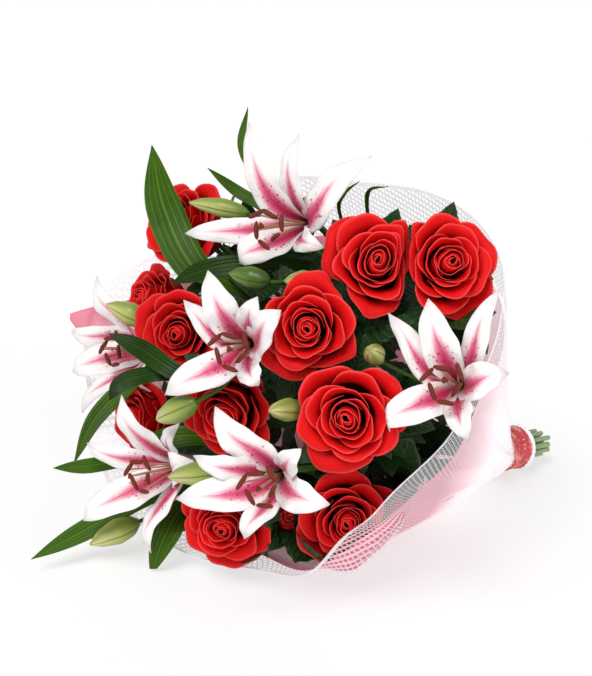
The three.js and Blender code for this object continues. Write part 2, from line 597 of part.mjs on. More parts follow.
// One of the two sheets, layer 1 outside and -1 inside, with so many rows from the gathered end
function sheet(layer, rows) {
  const lines = Array.from({ length: COLUMNS }, (_, column) => wrapLine(column));
  const normal = (column, row) => {
    if (lines[column][row].z <= WRAP_LOWEST) return vec(0, 0, -1);
    const last = lines[column].length - 1;
    const round = lines[(column + 1) % COLUMNS][row].clone();
    round.sub(lines[(column + COLUMNS - 1) % COLUMNS][row]);
    const along = lines[column][Math.min(row + 1, last)].clone().sub(lines[column][Math.max(row - 1, 0)]);
    return round.cross(along).normalize();
  };
  const points = [];
  for (const face of [-1, 1]) {
    for (let row = 0; row < rows; row += 1) {
      for (let column = 0; column < COLUMNS; column += 1) {
        const off = (layer * SHEET_SPACE + face * SHEET_THICKNESS) / 2;
        points.push(...lines[column][row].clone().addScaledVector(normal(column, row), off));
      }
    }
  }
  const geometry = new THREE.BufferGeometry();
  geometry.setAttribute("position", new THREE.Float32BufferAttribute(points, 3));
  geometry.setIndex(sheetFaces(rows));
  return closed(geometry);
}

// Tie
const STRING = { inner: 12.95, outer: 13.9, half: 4 };
const RIBBON = { inner: 16.9, outer: 18, half: 10 };
function band({ inner, outer, half }, segments, material) {
  const outline = [[inner, -half], [outer, -half], [outer, half], [inner, half], [inner, -half]];
  const ring = new THREE.LatheGeometry(outline.map((point) => new THREE.Vector2(...point)), segments);
  const mesh = new THREE.Mesh(closed(ring.deleteAttribute("normal").deleteAttribute("uv")), material);
  mesh.position.copy(TIE).addScaledVector(TIE_AXIS, TIE_AHEAD);
  mesh.quaternion.setFromUnitVectors(vec(0, 1, 0), TIE_AXIS);
  return mesh;
}

// Assembly
const pieces = {};
ROSES.forEach((rose, i) => {
  pieces[`rose_${i + 1}`] = roseHead(rose, i, throats);
  pieces[`rose_stem_${i + 1}`] = roseStem(rose, i);
});
LILIES.forEach((lily, i) => {
  pieces[`lily_${i + 1}`] = lilyBloom(lily);
  pieces[`lily_stamens_${i + 1}`] = lilyStamens(lily, i);
  pieces[`lily_stem_${i + 1}`] = lilyStem(lily, i);
});
pieces.wrap_net = new THREE.Mesh(sheet(1, WRAP_ROWS.length + 3), NET_WHITE);
pieces.wrap_pink = new THREE.Mesh(sheet(-1, PINK_ROWS + 3), WRAP_PINK);
pieces.stem_string = band(STRING, 15, STRING_STRAW);
pieces.ribbon = band(RIBBON, 20, RIBBON_RED);

const bouquet = new THREE.Group();
Object.entries(pieces).forEach(([name, mesh]) => {
  mesh.name = name;
  bouquet.add(mesh);
});
bouquet.updateMatrixWorld(true);
const box = new THREE.Box3().setFromObject(bouquet, true);
bouquet.position.set(-(box.min.x + box.max.x) / 2, -(box.min.y + box.max.y) / 2, -box.min.z);

export default bouquet;
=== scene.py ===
# A hand-tied bouquet of red roses and pink and white lilies, wrapped in a pink sheet and a
# white net. It lies on its side, with the flowers towards -Y and the cut stems towards +Y.
import math
import random

import bpy
import numpy as np
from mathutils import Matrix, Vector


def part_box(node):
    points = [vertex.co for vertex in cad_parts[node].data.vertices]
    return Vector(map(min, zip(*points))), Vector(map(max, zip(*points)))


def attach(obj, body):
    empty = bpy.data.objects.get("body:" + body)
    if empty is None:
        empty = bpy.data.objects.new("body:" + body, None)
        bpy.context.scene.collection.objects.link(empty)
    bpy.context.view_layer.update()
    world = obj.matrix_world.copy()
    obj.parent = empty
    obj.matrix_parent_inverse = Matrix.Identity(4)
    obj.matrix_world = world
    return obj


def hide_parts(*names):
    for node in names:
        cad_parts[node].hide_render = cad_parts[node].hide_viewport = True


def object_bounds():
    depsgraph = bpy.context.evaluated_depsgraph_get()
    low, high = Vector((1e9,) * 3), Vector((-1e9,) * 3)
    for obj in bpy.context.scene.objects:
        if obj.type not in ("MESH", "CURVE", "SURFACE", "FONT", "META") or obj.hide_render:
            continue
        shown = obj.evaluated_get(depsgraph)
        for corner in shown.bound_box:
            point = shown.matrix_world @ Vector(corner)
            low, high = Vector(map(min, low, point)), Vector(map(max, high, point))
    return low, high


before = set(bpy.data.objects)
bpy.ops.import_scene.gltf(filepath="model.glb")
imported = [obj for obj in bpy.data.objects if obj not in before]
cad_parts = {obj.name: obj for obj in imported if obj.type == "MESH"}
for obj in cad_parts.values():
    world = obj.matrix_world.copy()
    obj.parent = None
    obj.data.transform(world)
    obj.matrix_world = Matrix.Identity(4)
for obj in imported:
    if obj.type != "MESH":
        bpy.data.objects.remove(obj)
cad_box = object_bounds()
bpy.ops.object.select_all(action="DESELECT")

# Rose blooms
# Open florist roses, each petal cupped and rolled back at its rim, laid in a spiral from a tight
# middle outwards. Blooms that touch press flat against each other and against the lilies.
MM = 0.001  # lengths are in millimetres, unless it is said that they are in metres or parts
BUNCH_SLOPE = 29  # degrees that the bunch of flowers rises from the tie
TIE_SLOPE = 9  # degrees that the stems rise where they are tied
TIE_AHEAD = 8  # how far the ribbon sits ahead of the tie's middle, towards the flowers
UP = np.array([0.0, 0.0, 1.0])
RIGHT = np.array([1.0, 0.0, 0.0])


def heading(azimuth, elevation):
    """Unit direction: azimuth 0 looks along -Y and grows towards +X."""
    a, e = math.radians(azimuth), math.radians(elevation)
    return np.array([math.sin(a) * math.cos(e), -math.cos(a) * math.cos(e), math.sin(e)])


def unit(vectors):
    return vectors / np.maximum(np.linalg.norm(vectors, axis=-1, keepdims=True), 1e-9)


def across(axis, turn):
    """Unit direction square to an axis, at a turn round it: 0 is right and 90 is up."""
    up = -np.cross(RIGHT, axis)
    turn = np.radians(turn)
    return np.multiply.outer(np.cos(turn), RIGHT) + np.multiply.outer(np.sin(turn), up)


BUNCH_AXIS = heading(0, BUNCH_SLOPE)
TIE_AXIS = heading(0, TIE_SLOPE)
RIBBON_MIDDLE = np.mean([np.array(corner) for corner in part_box("ribbon")], axis=0)
TIE = RIBBON_MIDDLE - TIE_AXIS * TIE_AHEAD * MM


# Every stem runs through the tie and spreads from there, so each flower's place is given in
# degrees off the bunch's axis, a turn round it and millimetres from the tie.
def spot(off, turn, reach):
    off = math.radians(off)
    out = math.cos(off) * BUNCH_AXIS + math.sin(off) * across(BUNCH_AXIS, turn)
    return TIE + out * reach * MM


def table(fields, *rows):
    """Rows whose values go by the names of the fields; the last ones can be left out."""
    return [dict(zip(fields.split(), row)) for row in rows]


# A flower faces an azimuth and an elevation, and its stem's slot is a ring and a turn in the tie
ROSES = table(
    "off turn reach radius faces slot fold spin wrapped",
    (20.5, 58, 330, 38, (50, 30), (2, 72), 0.16, 20),
    (28, 50, 321, 38, (62, 26), (2, 40), 0.08, 160),
    (10.5, 38, 344, 37, (44, 20), (1, 40), 0.05, 80),
    (17.5, 356, 337, 39, (45, 16), (1, 350), 0.07, 250),
    (17.5, 182, 331, 36, (34, 12), (1, 165), 0.04, 10),
    (29.5, 178, 339, 32, (-12, 26), (2, 158), 0.05, 100),
    (29.5, 155, 350, 39, (0, 36), (2, 128), 0.12, 190),
    (7, 262, 331, 36, (34, 4), (1, 230), 0.1, 300),
    (28, 212, 330, 33, (2, 7), (2, 220), 0.08, 45),
    (23, 267, 311, 36, (36, 2), (2, 280), 0.06, 130),
    (23.5, 308, 266, 38, (50, 10), (2, 338), 0.12, 220,
     (103, -33, 28)),  # the wrap presses it flat this way, this far from its middle
    (21, 281, 268, 27, (40, -4), (2, 305), 0.1, 340),
)
ROSE_SWELL = 1.08  # reach of the widest petal as a part of the radius
ROSE_BACK = 0.74  # depth of the bloom behind its middle
ROSE_PETALS = 23
PETAL_GRID = (22, 12)
PETAL_THICKNESS = 0.4 * MM
PRESSED_GAP = 0.4 * MM  # from a bloom to the plane where it meets the next one
GOLDEN_TURN = 137.5
BOWL = 0.56  # part of a petal's length that is cup, before its lip
CUP_FOOT = -0.7  # level of the petals' feet, in parts of the radius

# A petal's form by the reach of its rim, from 0 in the middle of the bloom to 1 outside
LIP_CURL = ([0, 0.12, 0.28, 0.5, 0.8, 1], [-1.2, -0.6, 0.22, 0.75, 1.35, 1.9])  # in radians
LIP_LENGTH = ([0, 0.3, 0.6, 1], [0.14, 0.24, 0.36, 0.47])
PETAL_SPREAD = ([0, 0.15, 0.4, 0.7, 1], [165, 125, 88, 66, 56])  # degrees round to each side
FOLD_SHARE = ([0, 0.25, 0.6], [1, 0.8, 0])  # of the fold that makes a bloom's heart oval
SPIRAL = ([0, 0.3, 1], [0.3, 0.12, 0.04])  # one side's rise over the other, by the petal's rank
RUFFLES = ((0.032, 2.5, 5.0), (0.012, 9.0, 13.0))  # height, and the least and most waves

# The lilies' places stand here too, because a rose beside a lily gives way to its throat. Each
# tepal has the turn of its tip, its lift and its reach.
LILIES = table(
    "off turn reach faces slot tepals",
    (15.5, 91, 367, (15, 12), (1, 100),
     [(31, -2, 82), (104, 14, 80), (136, 0, 50), (257, 4, 44), (319, -20, 85), (358, -2, 70)]),
    (4, 14, 375, (35, 16), (0, 0),
     [(26, 0, 60), (60, -16, 62), (127, -8, 71), (222, 24, 38), (313, 12, 47), (338, 18, 46)]),
    (28.5, 14, 346, (31, 24), (2, 8),
     [(22, 0, 62), (51, -10, 73), (128, 0, 60), (208, 14, 45), (288, -8, 43), (340, 0, 75)]),
    (17, 317, 365, (33, 15), (1, 290),
     [(44, -8, 68), (78, 2, 60), (108, -2, 72), (160, -8, 52), (262, 12, 52), (318, 26, 48)]),
    (20, 244, 353, (5, 9), (2, 250),
     [(36, 10, 65), (84, 22, 66), (138, 24, 76), (178, 0, 72), (298, 5, 50), (346, -8, 46)]),
    (29, 193, 351, (-2, 14), (2, 189),
     [(48, 8, 72), (92, 20, 66), (125, 18, 64), (162, 22, 70), (210, -16, 46), (290, 4, 42)]),
)
FUNNEL = dict(depth=39.5, foot=4.6, waist=8.5, waist_depth=14, arch=17)
THROAT = dict(depth=0.6, radius=13 * MM)  # its depth is a part of the funnel's


def rose_middle(rose):
    return spot(rose["off"], rose["turn"], rose["reach"])


def lily_mouth(lily):
    return spot(lily["off"], lily["turn"], lily["reach"])


def lily_throat(lily):
    depth = FUNNEL["depth"] * THROAT["depth"] * MM
    return lily_mouth(lily) - heading(*lily["faces"]) * depth, THROAT["radius"]


def wrap_limit(rose):
    """The way in which the wrap presses a bloom, and how far from its middle."""
    azimuth, elevation, limit = rose.get("wrapped", (0, 0, 2 * rose["radius"]))
    return heading(azimuth, elevation), limit * MM


rose_balls = [(rose_middle(rose), rose["radius"] * MM * ROSE_SWELL) for rose in ROSES]
throats = [lily_throat(lily) for lily in LILIES]


def limits_of(number):
    """The flat limits of a bloom: towards what, and how far from its middle."""
    middle, radius = rose_balls[number]
    found = [wrap_limit(ROSES[number])]
    for other, other_radius in rose_balls + throats:
        towards = other - middle
        distance = float(np.linalg.norm(towards))
        if distance < MM or distance > radius + other_radius + MM:
            continue
        limit = (distance**2 + radius**2 - other_radius**2) / (2 * distance) - PRESSED_GAP
        found.append((towards / distance, limit))
    return found


def pressed(points, middle, radius, limits):
    """Draws points in along their rays from the middle, inside every flat limit."""
    ray = points - middle
    length = np.maximum(np.linalg.norm(ray, axis=1), 1e-9)
    direction = ray / length[:, None]
    room = np.full(len(points), radius)
    for normal, limit in limits:
        lean = direction @ normal
        room = np.where(lean > 1e-3, np.minimum(room, limit / np.maximum(lean, 1e-3)), room)
    still = 0.5 * room
    squeezed = still + (length - still) * (room - still) / (radius - still)
    return middle + direction * np.where(length <= still, length, squeezed)[:, None]


class Place:
    """A flower's own frame: z is the way it faces, y is as near up as it can be."""

    def __init__(self, middle, faces, spin=0.0):
        z = unit(faces)
        x = unit(np.cross(UP, z))
        y = np.cross(z, x)
        s, c = math.sin(math.radians(spin)), math.cos(math.radians(spin))
        self.middle = middle
        self.axes = np.array([c * x + s * y, -s * x + c * y, z])

    def out(self, local):
        return self.middle + local @ self.axes

    def into(self, points):
        return (points - self.middle) @ self.axes.T


# Each thin or round piece starts as one flat grid, whose points are then moved by a rule of u
# across it and v along it, both from 0 to 1. Its map keeps u and v for the finish.
grids = {}


def flat_grid(columns, rows):
    key = (columns, rows)
    if key not in grids:
        bpy.ops.mesh.primitive_grid_add(x_subdivisions=columns, y_subdivisions=rows, size=1,
                                        calc_uvs=True)
        grid = bpy.context.object
        bpy.ops.object.select_all(action="DESELECT")
        grids[key] = grid.data.copy()
        bpy.data.objects.remove(grid)
        if grids[key].polygons[0].normal.z < 0:
            grids[key].flip_normals()
    return grids[key]


def points_of(mesh):
    points = np.empty(len(mesh.vertices) * 3)
    mesh.vertices.foreach_get("co", points)
    return points.reshape(-1, 3)


def move_points(mesh, points):
    mesh.vertices.foreach_set("co", np.ascontiguousarray(points).ravel())


def shaped(name, columns, rows, rule):
    """A grid whose points are moved to rule(u, v)."""
    mesh = flat_grid(columns, rows).copy()
    points = points_of(mesh) + 0.5
    move_points(mesh, rule(points[:, 0], points[:, 1]))
    mesh.update()
    piece = bpy.data.objects.new(name, mesh)
    bpy.context.collection.objects.link(piece)
    return piece


def pick(*pieces):
    bpy.ops.object.select_all(action="DESELECT")
    for piece in pieces:
        piece.select_set(True)
    bpy.context.view_layer.objects.active = pieces[0]


def joined(pieces, name):
    pick(*pieces)
    if len(pieces) > 1:
        bpy.ops.object.join()
    piece = bpy.context.object
    piece.name = name
    piece.data.name = name
    return piece


def walled(piece, thickness, back_material=0):
    """Gives a thin piece its thickness and smooth faces. Its back can have a finish of its own."""
    pick(piece)
    bpy.ops.object.modifier_add(type="SOLIDIFY")
    wall = piece.modifiers[-1]
    wall.thickness = thickness
    wall.offset = 0
    wall.material_offset = back_material
    bpy.ops.object.modifier_apply(modifier=wall.name)
    bpy.ops.object.shade_smooth()
    return piece


def coloured(material, *pieces):
    for piece in pieces:
        piece.data.materials.append(material)


def seat(piece, *nodes, slot):
    """The piece stands for its nodes, in the one body of the bunch."""
    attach(piece, "root")
    if nodes:
        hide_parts(*nodes)


def petal(rank, u, v, turn, rng, rose):
    """One petal in parts of the bloom's radius. Its rank runs from 0 in the middle to 1 outside."""
    x = 2 * u - 1
    edge = np.abs(x)
    rim = 0.035 + 0.985 * rank**1.22
    height = 0.60 - 0.50 * rim**2.2 + rng.uniform(-0.03, 0.03)
    curl = np.interp(rim, *LIP_CURL)
    curl = curl * rng.uniform(0.8, 1.2) * (1 + 0.35 * edge**2 * rim) + 0.04
    lip = np.interp(rim, *LIP_LENGTH)
    v = v * (1 - 0.42 * edge**3.2 + 0.03 * rank * (1 - edge) ** 3)
    wall = rim - lip / curl * (1 - np.cos(curl))
    top = height - lip / curl * np.sin(np.minimum(curl, math.pi / 2))
    bottom = CUP_FOOT + 0.03 * (1 - rank)
    rise = np.radians(8 + 82 * np.clip(v / BOWL, 0, 1))
    roll = curl * np.clip((v - BOWL) / (1 - BOWL), 0, 1.05)
    radius = wall * np.sin(rise) + lip / curl * (1 - np.cos(roll))
    level = top - (top - bottom) * np.cos(rise) + lip / curl * np.sin(roll)
    wide = math.radians(np.interp(rim, *PETAL_SPREAD))
    wide = wide * (0.45 + 0.55 * np.sin(math.pi / 2 * np.minimum(v / 0.6, 1)))
    angle = turn + x * wide
    radius = radius * (1 + np.interp(rank, *SPIRAL) * rng.choice((-1, 1)) * x)
    folded = rose["fold"] * np.interp(rim, *FOLD_SHARE)
    radius = radius * (1 + folded * np.sin(2 * angle + rng.uniform(-0.6, 0.6)))
    radius = radius + 0.05 * rank * edge**3 * v
    wave = v**5 * (0.35 + rank)
    for size, least, most in RUFFLES:
        radius = radius + size * wave * np.sin(x * rng.uniform(least, most) + rng.uniform(0, math.tau))
        level = level + size * wave * np.sin(x * rng.uniform(least, most) + rng.uniform(0, math.tau))
    notch = np.exp(-((x - rng.uniform(-0.5, 0.5)) / 0.13) ** 2)
    level = level - 0.05 * wave * notch * rng.uniform(-0.5, 1)
    level = level + rng.uniform(-0.05, 0.05) * rank * x * v
    return np.stack([np.cos(angle) * radius, np.sin(angle) * radius, level], axis=1)


def rose_bloom(number, rose, limits):
    rng = random.Random(100 + number)
    middle, size = rose_balls[number]
    place = Place(middle, heading(*rose["faces"]), rose["spin"])
    petals = []
    for k in range(ROSE_PETALS):
        turn = math.radians(k * GOLDEN_TURN + rng.uniform(-9, 9))
        rank = k / (ROSE_PETALS - 1)

        def rule(u, v):
            local = petal(rank, u, v, turn, rng, rose) * size
            return pressed(place.out(local), middle, size, limits)

        petals.append(shaped(f"petal_{k}", *PETAL_GRID, rule))
    bloom = joined(petals, f"rose_bloom_{number + 1}")
    coloured(ROSE_RED, bloom)
    walled(bloom, PETAL_THICKNESS)
    seat(bloom, f"rose_{number + 1}", slot="rose_petals")


def feed(tree, value, socket):
    if isinstance(value, bpy.types.NodeSocket):
        tree.links.new(value, socket)
    else:
        socket.default_value = value


def math_node(tree, operation, *values):
    node = tree.nodes.new("ShaderNodeMath")
    node.operation = operation
    for value, socket in zip(values, node.inputs):
        feed(tree, value, socket)
    return node.outputs[0]


# Finishes are made of noise, bands and ramps on the map of a piece, where u runs across it and
# v along it, or on its own coordinates.
class Finish:
    def __init__(self, name, **sockets):
        self.material = bpy.data.materials.new(name)
        self.material.use_nodes = True
        self.tree = self.material.node_tree
        self.shader = self.tree.nodes["Principled BSDF"]
        for socket, value in sockets.items():
            self.shader.inputs[socket.replace("_", " ")].default_value = value

    def node(self, kind, settings=None, **inputs):
        node = self.tree.nodes.new(kind)
        for key, value in (settings or {}).items():
            setattr(node, key, value)
        for key, value in inputs.items():
            feed(self.tree, value, node.inputs[key.replace("_", " ")])
        return node

    def math(self, operation, *values):
        return math_node(self.tree, operation, *values)

    def vector_math(self, operation, *values):
        node = self.node("ShaderNodeVectorMath", {"operation": operation})
        for value, socket in zip(values, node.inputs):
            feed(self.tree, value, socket)
        return node.outputs["Vector" if operation == "MULTIPLY" else "Value"]

    def uv(self):
        split = self.node("ShaderNodeSeparateXYZ", Vector=self.node("ShaderNodeTexCoord").outputs["UV"])
        return split.outputs["X"], split.outputs["Y"]

    def from_midrib(self, u):
        """0 along the middle of a piece and 1 at both its edges."""
        return self.math("ABSOLUTE", self.math("MULTIPLY_ADD", u, 2.0, -1.0))

    def own(self):
        return self.node("ShaderNodeTexCoord").outputs["Object"]

    def noise(self, scale, detail=3.0, vector=None):
        vector = self.own() if vector is None else vector
        return self.node("ShaderNodeTexNoise", Vector=vector, Scale=scale, Detail=detail).outputs["Fac"]

    def ramp(self, value, *stops):
        """A colour ramp through (place, colour) stops; a plain number is a grey."""
        node = self.node("ShaderNodeValToRGB", Fac=value)
        elements = node.color_ramp.elements
        while len(elements) < len(stops):
            elements.new(0.5)
        for element, (place, colour) in zip(elements, stops):
            element.position = place
            grey = isinstance(colour, (int, float))
            element.color = (colour, colour, colour, 1) if grey else (*colour, 1)
        return node.outputs["Color"]

    def mix(self, factor, first, second):
        node = self.node("ShaderNodeMix", {"data_type": "RGBA"})
        feed(self.tree, factor, node.inputs[0])
        for value, socket in ((first, node.inputs[6]), (second, node.inputs[7])):
            plain = not isinstance(value, bpy.types.NodeSocket)
            feed(self.tree, (*value, 1) if plain else value, socket)
        return node.outputs[2]

    def laid_over(self, colour, mask, share, tone):
        """A colour with a share of a tone over it where the mask is 1."""
        return self.mix(self.math("MULTIPLY", mask, share), colour, tone)

    def bump(self, height, distance, strength=1.0):
        node = self.node("ShaderNodeBump", Height=height, Distance=distance, Strength=strength)
        self.shows("Normal", node.outputs["Normal"])

    def shows(self, socket, value):
        self.tree.links.new(value, self.shader.inputs[socket])


def vein_group():
    """Fine lines along a piece: count of them across it, and how wavy they are."""
    group = bpy.data.node_groups.new("lengthwise_veins", "ShaderNodeTree")
    sockets = (("U", 0.5), ("V", 0.5), ("Count", 20.0), ("Waviness", 0.5))
    for name, value in sockets:
        socket = group.interface.new_socket(name, in_out="INPUT", socket_type="NodeSocketFloat")
        socket.default_value = value
    group.interface.new_socket("Lines", in_out="OUTPUT", socket_type="NodeSocketFloat")
    given, result = group.nodes.new("NodeGroupInput").outputs, group.nodes.new("NodeGroupOutput")
    place = group.nodes.new("ShaderNodeCombineXYZ")
    feed(group, math_node(group, "MULTIPLY", given["U"], 4.0), place.inputs["X"])
    feed(group, math_node(group, "MULTIPLY", given["V"], 1.3), place.inputs["Y"])
    noise = group.nodes.new("ShaderNodeTexNoise")
    feed(group, 2.0, noise.inputs["Scale"])
    feed(group, place.outputs[0], noise.inputs["Vector"])
    wobble = math_node(group, "MULTIPLY", noise.outputs["Fac"], given["Waviness"])
    counted = math_node(group, "MULTIPLY_ADD", given["U"], given["Count"], wobble)
    wave = math_node(group, "SINE", math_node(group, "MULTIPLY", counted, math.tau))
    feed(group, math_node(group, "MULTIPLY_ADD", wave, 0.5, 0.5), result.inputs["Lines"])
    return group


LENGTHWISE_VEINS = vein_group()


def veins(finish, u, v, count, waviness):
    node = finish.node("ShaderNodeGroup", {"node_tree": LENGTHWISE_VEINS}, U=u, V=v, Count=count,
                       Waviness=waviness)
    return node.outputs["Lines"]


def rose_finish():
    red = Finish("rose_petal_red", Roughness=0.55, Subsurface_Weight=0.06,
                 Subsurface_Radius=(0.003, 0.0005, 0.0003), Specular_IOR_Level=0.1)
    u, v = red.uv()
    # Painted shade: each petal darkens to near black towards its foot, deep in the bloom, and brightens
    # towards its rim.
    dark, deep, bright = (0.09, 0.0004, 0.001), (0.36, 0.002, 0.003), (0.72, 0.007, 0.008)
    colour = red.ramp(v, (0.25, dark), (0.55, deep), (0.8, bright))
    colour = red.laid_over(colour, red.noise(55.0), 0.35, (0.50, 0.002, 0.004))
    # The paler band along each petal's rim is a painted highlight.
    rim = red.ramp(v, (0.955, 0.0), (0.99, 1.0))
    red.shows("Base Color", red.laid_over(colour, rim, 0.5, (0.90, 0.11, 0.10)))
    red.bump(veins(red, u, v, 34.0, 3.0), 0.00012, 0.5)
    return red.material


ROSE_RED = rose_finish()
for number, rose in enumerate(ROSES):
    rose_bloom(number, rose, limits_of(number))

# Lilies
# Oriental lilies: six tepals on a receptacle, white with a magenta streak and dark spots. The
# broad tepals stand inside the narrow ones, and all of them bend clear of the roses.
TEPAL_WIDTHS = (13.5, 9.0)  # half widths of the broad and the narrow tepals
TEPAL_LAYERS = (-1.3, 1.3)  # how far each kind stands back
TEPAL_CURL = 2.6  # of the side edges
TEPAL_GROOVE = 0.78  # along the midrib
TEPAL_RUFFLE = 1.5  # height of the edges' waves
TEPAL_HOOK = 5.0  # how far the tips bend back
TEPAL_GRID = (16, 26)
TEPAL_THICKNESS = 0.7 * MM
TEPAL_CLEAR = 2.6
LOWEST_BLADE = 3
ROSE_FORM = 1.02  # reach of a bloom's rounded form as a part of its radius
FRONT_DEPTH, BACK_DEPTH = 0.66, 0.85  # its depths, as parts of its radius


def smooth(low, high, value):
    part = np.clip((value - low) / (high - low), 0, 1)
    return part * part * (3 - 2 * part)


def bezier(points, t):
    """Points of a Bezier curve and its unit tangents."""
    t = np.asarray(t, dtype=float)
    level = [np.broadcast_to(p, t.shape + (len(p),)) for p in np.asarray(points, dtype=float)]
    while len(level) > 2:
        level = [a + (b - a) * t[..., None] for a, b in zip(level, level[1:])]
    return level[0] + (level[1] - level[0]) * t[..., None], unit(level[1] - level[0])


def lily_place(lily):
    return Place(lily_mouth(lily), heading(*lily["faces"]))


def off_roses(points, clearance, lowest=LOWEST_BLADE):
    """Presses points out of the rounded form of every rose and off the surface below."""
    points = points.copy()
    for rose in ROSES:
        place = Place(rose_middle(rose), heading(*rose["faces"]))
        local = place.into(points)
        depth = np.where(local[..., 2] > 0, FRONT_DEPTH, BACK_DEPTH)
        size = np.sqrt(local[..., 0] ** 2 + local[..., 1] ** 2 + (local[..., 2] / depth) ** 2)
        normal, limit = wrap_limit(rose)
        lean = (points - place.middle) @ normal
        pushed = np.minimum((rose["radius"] * ROSE_FORM + clearance) * MM / np.maximum(size, 1e-9),
                            (limit + clearance * MM) / np.maximum(lean, 1e-9))
        inside = pushed > 1
        points[inside] = place.out(local[inside] * pushed[inside][:, None])
    points[..., 2] = np.maximum(points[..., 2], cad_box[0][2] + lowest * MM)
    return points


def tepal_half_width(v):
    near = 0.2 + 0.8 * np.sin(math.pi * v)
    return np.where(v < 0.5, near, np.maximum(0.02, 1 - np.abs(2 * v - 1) ** 2.3))


def tepal_rule(shape, foot_turn, narrow, place, rng):
    turn, lift, reach = shape
    far, high = reach * math.cos(math.radians(lift)), reach * math.sin(math.radians(lift))
    line = [(FUNNEL["foot"], -FUNNEL["depth"]), (FUNNEL["waist"], -FUNNEL["waist_depth"]),
            (far * 0.5, high * 0.5 + FUNNEL["arch"]), (far, high)]
    phase, ruffles = rng.uniform(0, math.tau), rng.uniform(3.0, 4.2)

    def rule(u, v):
        x = 2 * u - 1
        middle, along = bezier(line, v)
        width = TEPAL_WIDTHS[narrow] * tepal_half_width(v)
        settled = smooth(0.1, 0.8, v)
        swing = np.radians(foot_turn + (turn - foot_turn) * settled)
        swing = swing - x * width / np.maximum(middle[:, 0], 6)
        open_part = np.sin(math.pi * np.clip((v - 0.25) / 0.75, 0, 1))
        curl = TEPAL_CURL * x * x * open_part
        groove = TEPAL_GROOVE * np.exp(-((x / 0.2) ** 2)) * open_part
        ruffle = np.abs(x) ** 2.4 * open_part * np.sin(ruffles * math.tau * v + phase + np.sign(x))
        hook = TEPAL_HOOK * smooth(0.72, 1.0, v) ** 2
        off = TEPAL_LAYERS[narrow] + curl + groove + TEPAL_RUFFLE * ruffle + hook
        radius = middle[:, 0] + along[:, 1] * off
        height = middle[:, 1] - along[:, 0] * off
        local = np.stack([-np.sin(swing) * radius, np.cos(swing) * radius, height], axis=1)
        return off_roses(place.out(local * MM), TEPAL_CLEAR)

    return rule


def lily_bloom(number, lily):
    rng = random.Random(300 + number)
    place = lily_place(lily)
    first = sum(shape[0] - 60 * k for k, shape in enumerate(lily["tepals"])) / 6
    tepals = [shaped(f"tepal_{k}", *TEPAL_GRID, tepal_rule(shape, first + 60 * k, k % 2, place, rng))
              for k, shape in enumerate(lily["tepals"])]
    bloom = joined(tepals, f"lily_bloom_{number + 1}")
    coloured(TEPAL_FACE, bloom)
    coloured(TEPAL_BACK, bloom)
    walled(bloom, TEPAL_THICKNESS, back_material=1)
    seat(bloom, f"lily_{number + 1}", slot="lily_tepals")


def tepal_finish(name, roughness):
    return Finish(name, Roughness=roughness, Sheen_Weight=0.1, Subsurface_Weight=0.08,
                  Subsurface_Radius=(0.003, 0.0015, 0.0015), Specular_IOR_Level=0.3)


def tepal_face():
    face = tepal_finish("tepal_face", 0.45)
    u, v = face.uv()
    side = face.from_midrib(u)
    feather = face.math("MULTIPLY_ADD", veins(face, u, v, 30.0, 5.0), 0.16, side)
    feather = face.math("MULTIPLY_ADD", face.noise(120.0), 0.14, feather)
    reach = face.ramp(v, (0.25, 1.0), (0.45, 0.8), (0.6, 0.56), (0.75, 0.32), (0.9, 0.0))
    inside = face.math("SUBTRACT", reach, feather)
    colour = (0.92, 0.88, 0.87)
    for low, high, tone in ((0.0, 0.26, (0.85, 0.42, 0.50)), (0.16, 0.42, (0.72, 0.10, 0.22)),
                            (0.42, 0.7, (0.52, 0.02, 0.09))):
        colour = face.mix(face.ramp(inside, (low, 0.0), (high, 1.0)), colour, tone)
    dots = face.node("ShaderNodeTexVoronoi", {"feature": "F1"}, Vector=face.own(), Scale=270.0)
    spread = face.math("MULTIPLY", face.ramp(v, (0.25, 0.9), (0.5, 0.75), (0.6, 0.0)),
                       face.ramp(side, (0.55, 1.0), (0.75, 0.0)))
    spots = face.math("MULTIPLY", face.math("LESS_THAN", dots.outputs["Distance"], 0.27), spread)
    face.shows("Base Color", face.mix(spots, colour, (0.30, 0.01, 0.05)))
    face.bump(face.math("MULTIPLY_ADD", spots, 2.0, veins(face, u, v, 22.0, 2.0)), 0.0003, 0.6)
    return face.material


def tepal_back():
    back = tepal_finish("tepal_back", 0.5)
    u, v = back.uv()
    rib = back.ramp(back.from_midrib(u), (0.0, 1.0), (0.16, 0.0))
    green_foot, rosy, pale = (0.36, 0.45, 0.18), (0.78, 0.6, 0.58), (0.86, 0.78, 0.77)
    base = back.ramp(v, (0.0, green_foot), (0.25, rosy), (0.6, pale))
    base = back.laid_over(base, rib, 0.6, (0.66, 0.33, 0.39))
    back.shows("Base Color", back.laid_over(base, back.noise(60.0), 0.35, (0.80, 0.58, 0.62)))
    back.bump(veins(back, u, v, 18.0, 2.0), 0.0003, 0.5)
    return back.material


TEPAL_FACE = tepal_face()
TEPAL_BACK = tepal_back()
for number, lily in enumerate(LILIES):
    lily_bloom(number, lily)

# Stamens and pistil
# Six pale filaments, each with a brown anther balanced across its tip, round a green style that
# ends in a three-lobed stigma. They spring from the foot of the tepals.
STAMEN_ROOT, STAMEN_BOW, STAMEN_TIP = -36, -6, 16  # heights from the lily's mouth
STAMEN_SPREADS = (13, 9.75)  # in turn
STAMEN_TURN, LILY_TURN = 24, 9  # degrees to the first stamen, and more for each lily
FILAMENT_RADIUS = 0.65
ANTHER = dict(half=6.8, radius=1.8, bend=1.1, lean=14)
STYLE_TIP = np.array([3, 2, 27])
STYLE_RADIUS = 1.0
LOBE = dict(out=1.1, half=1.4, radius=1.5)


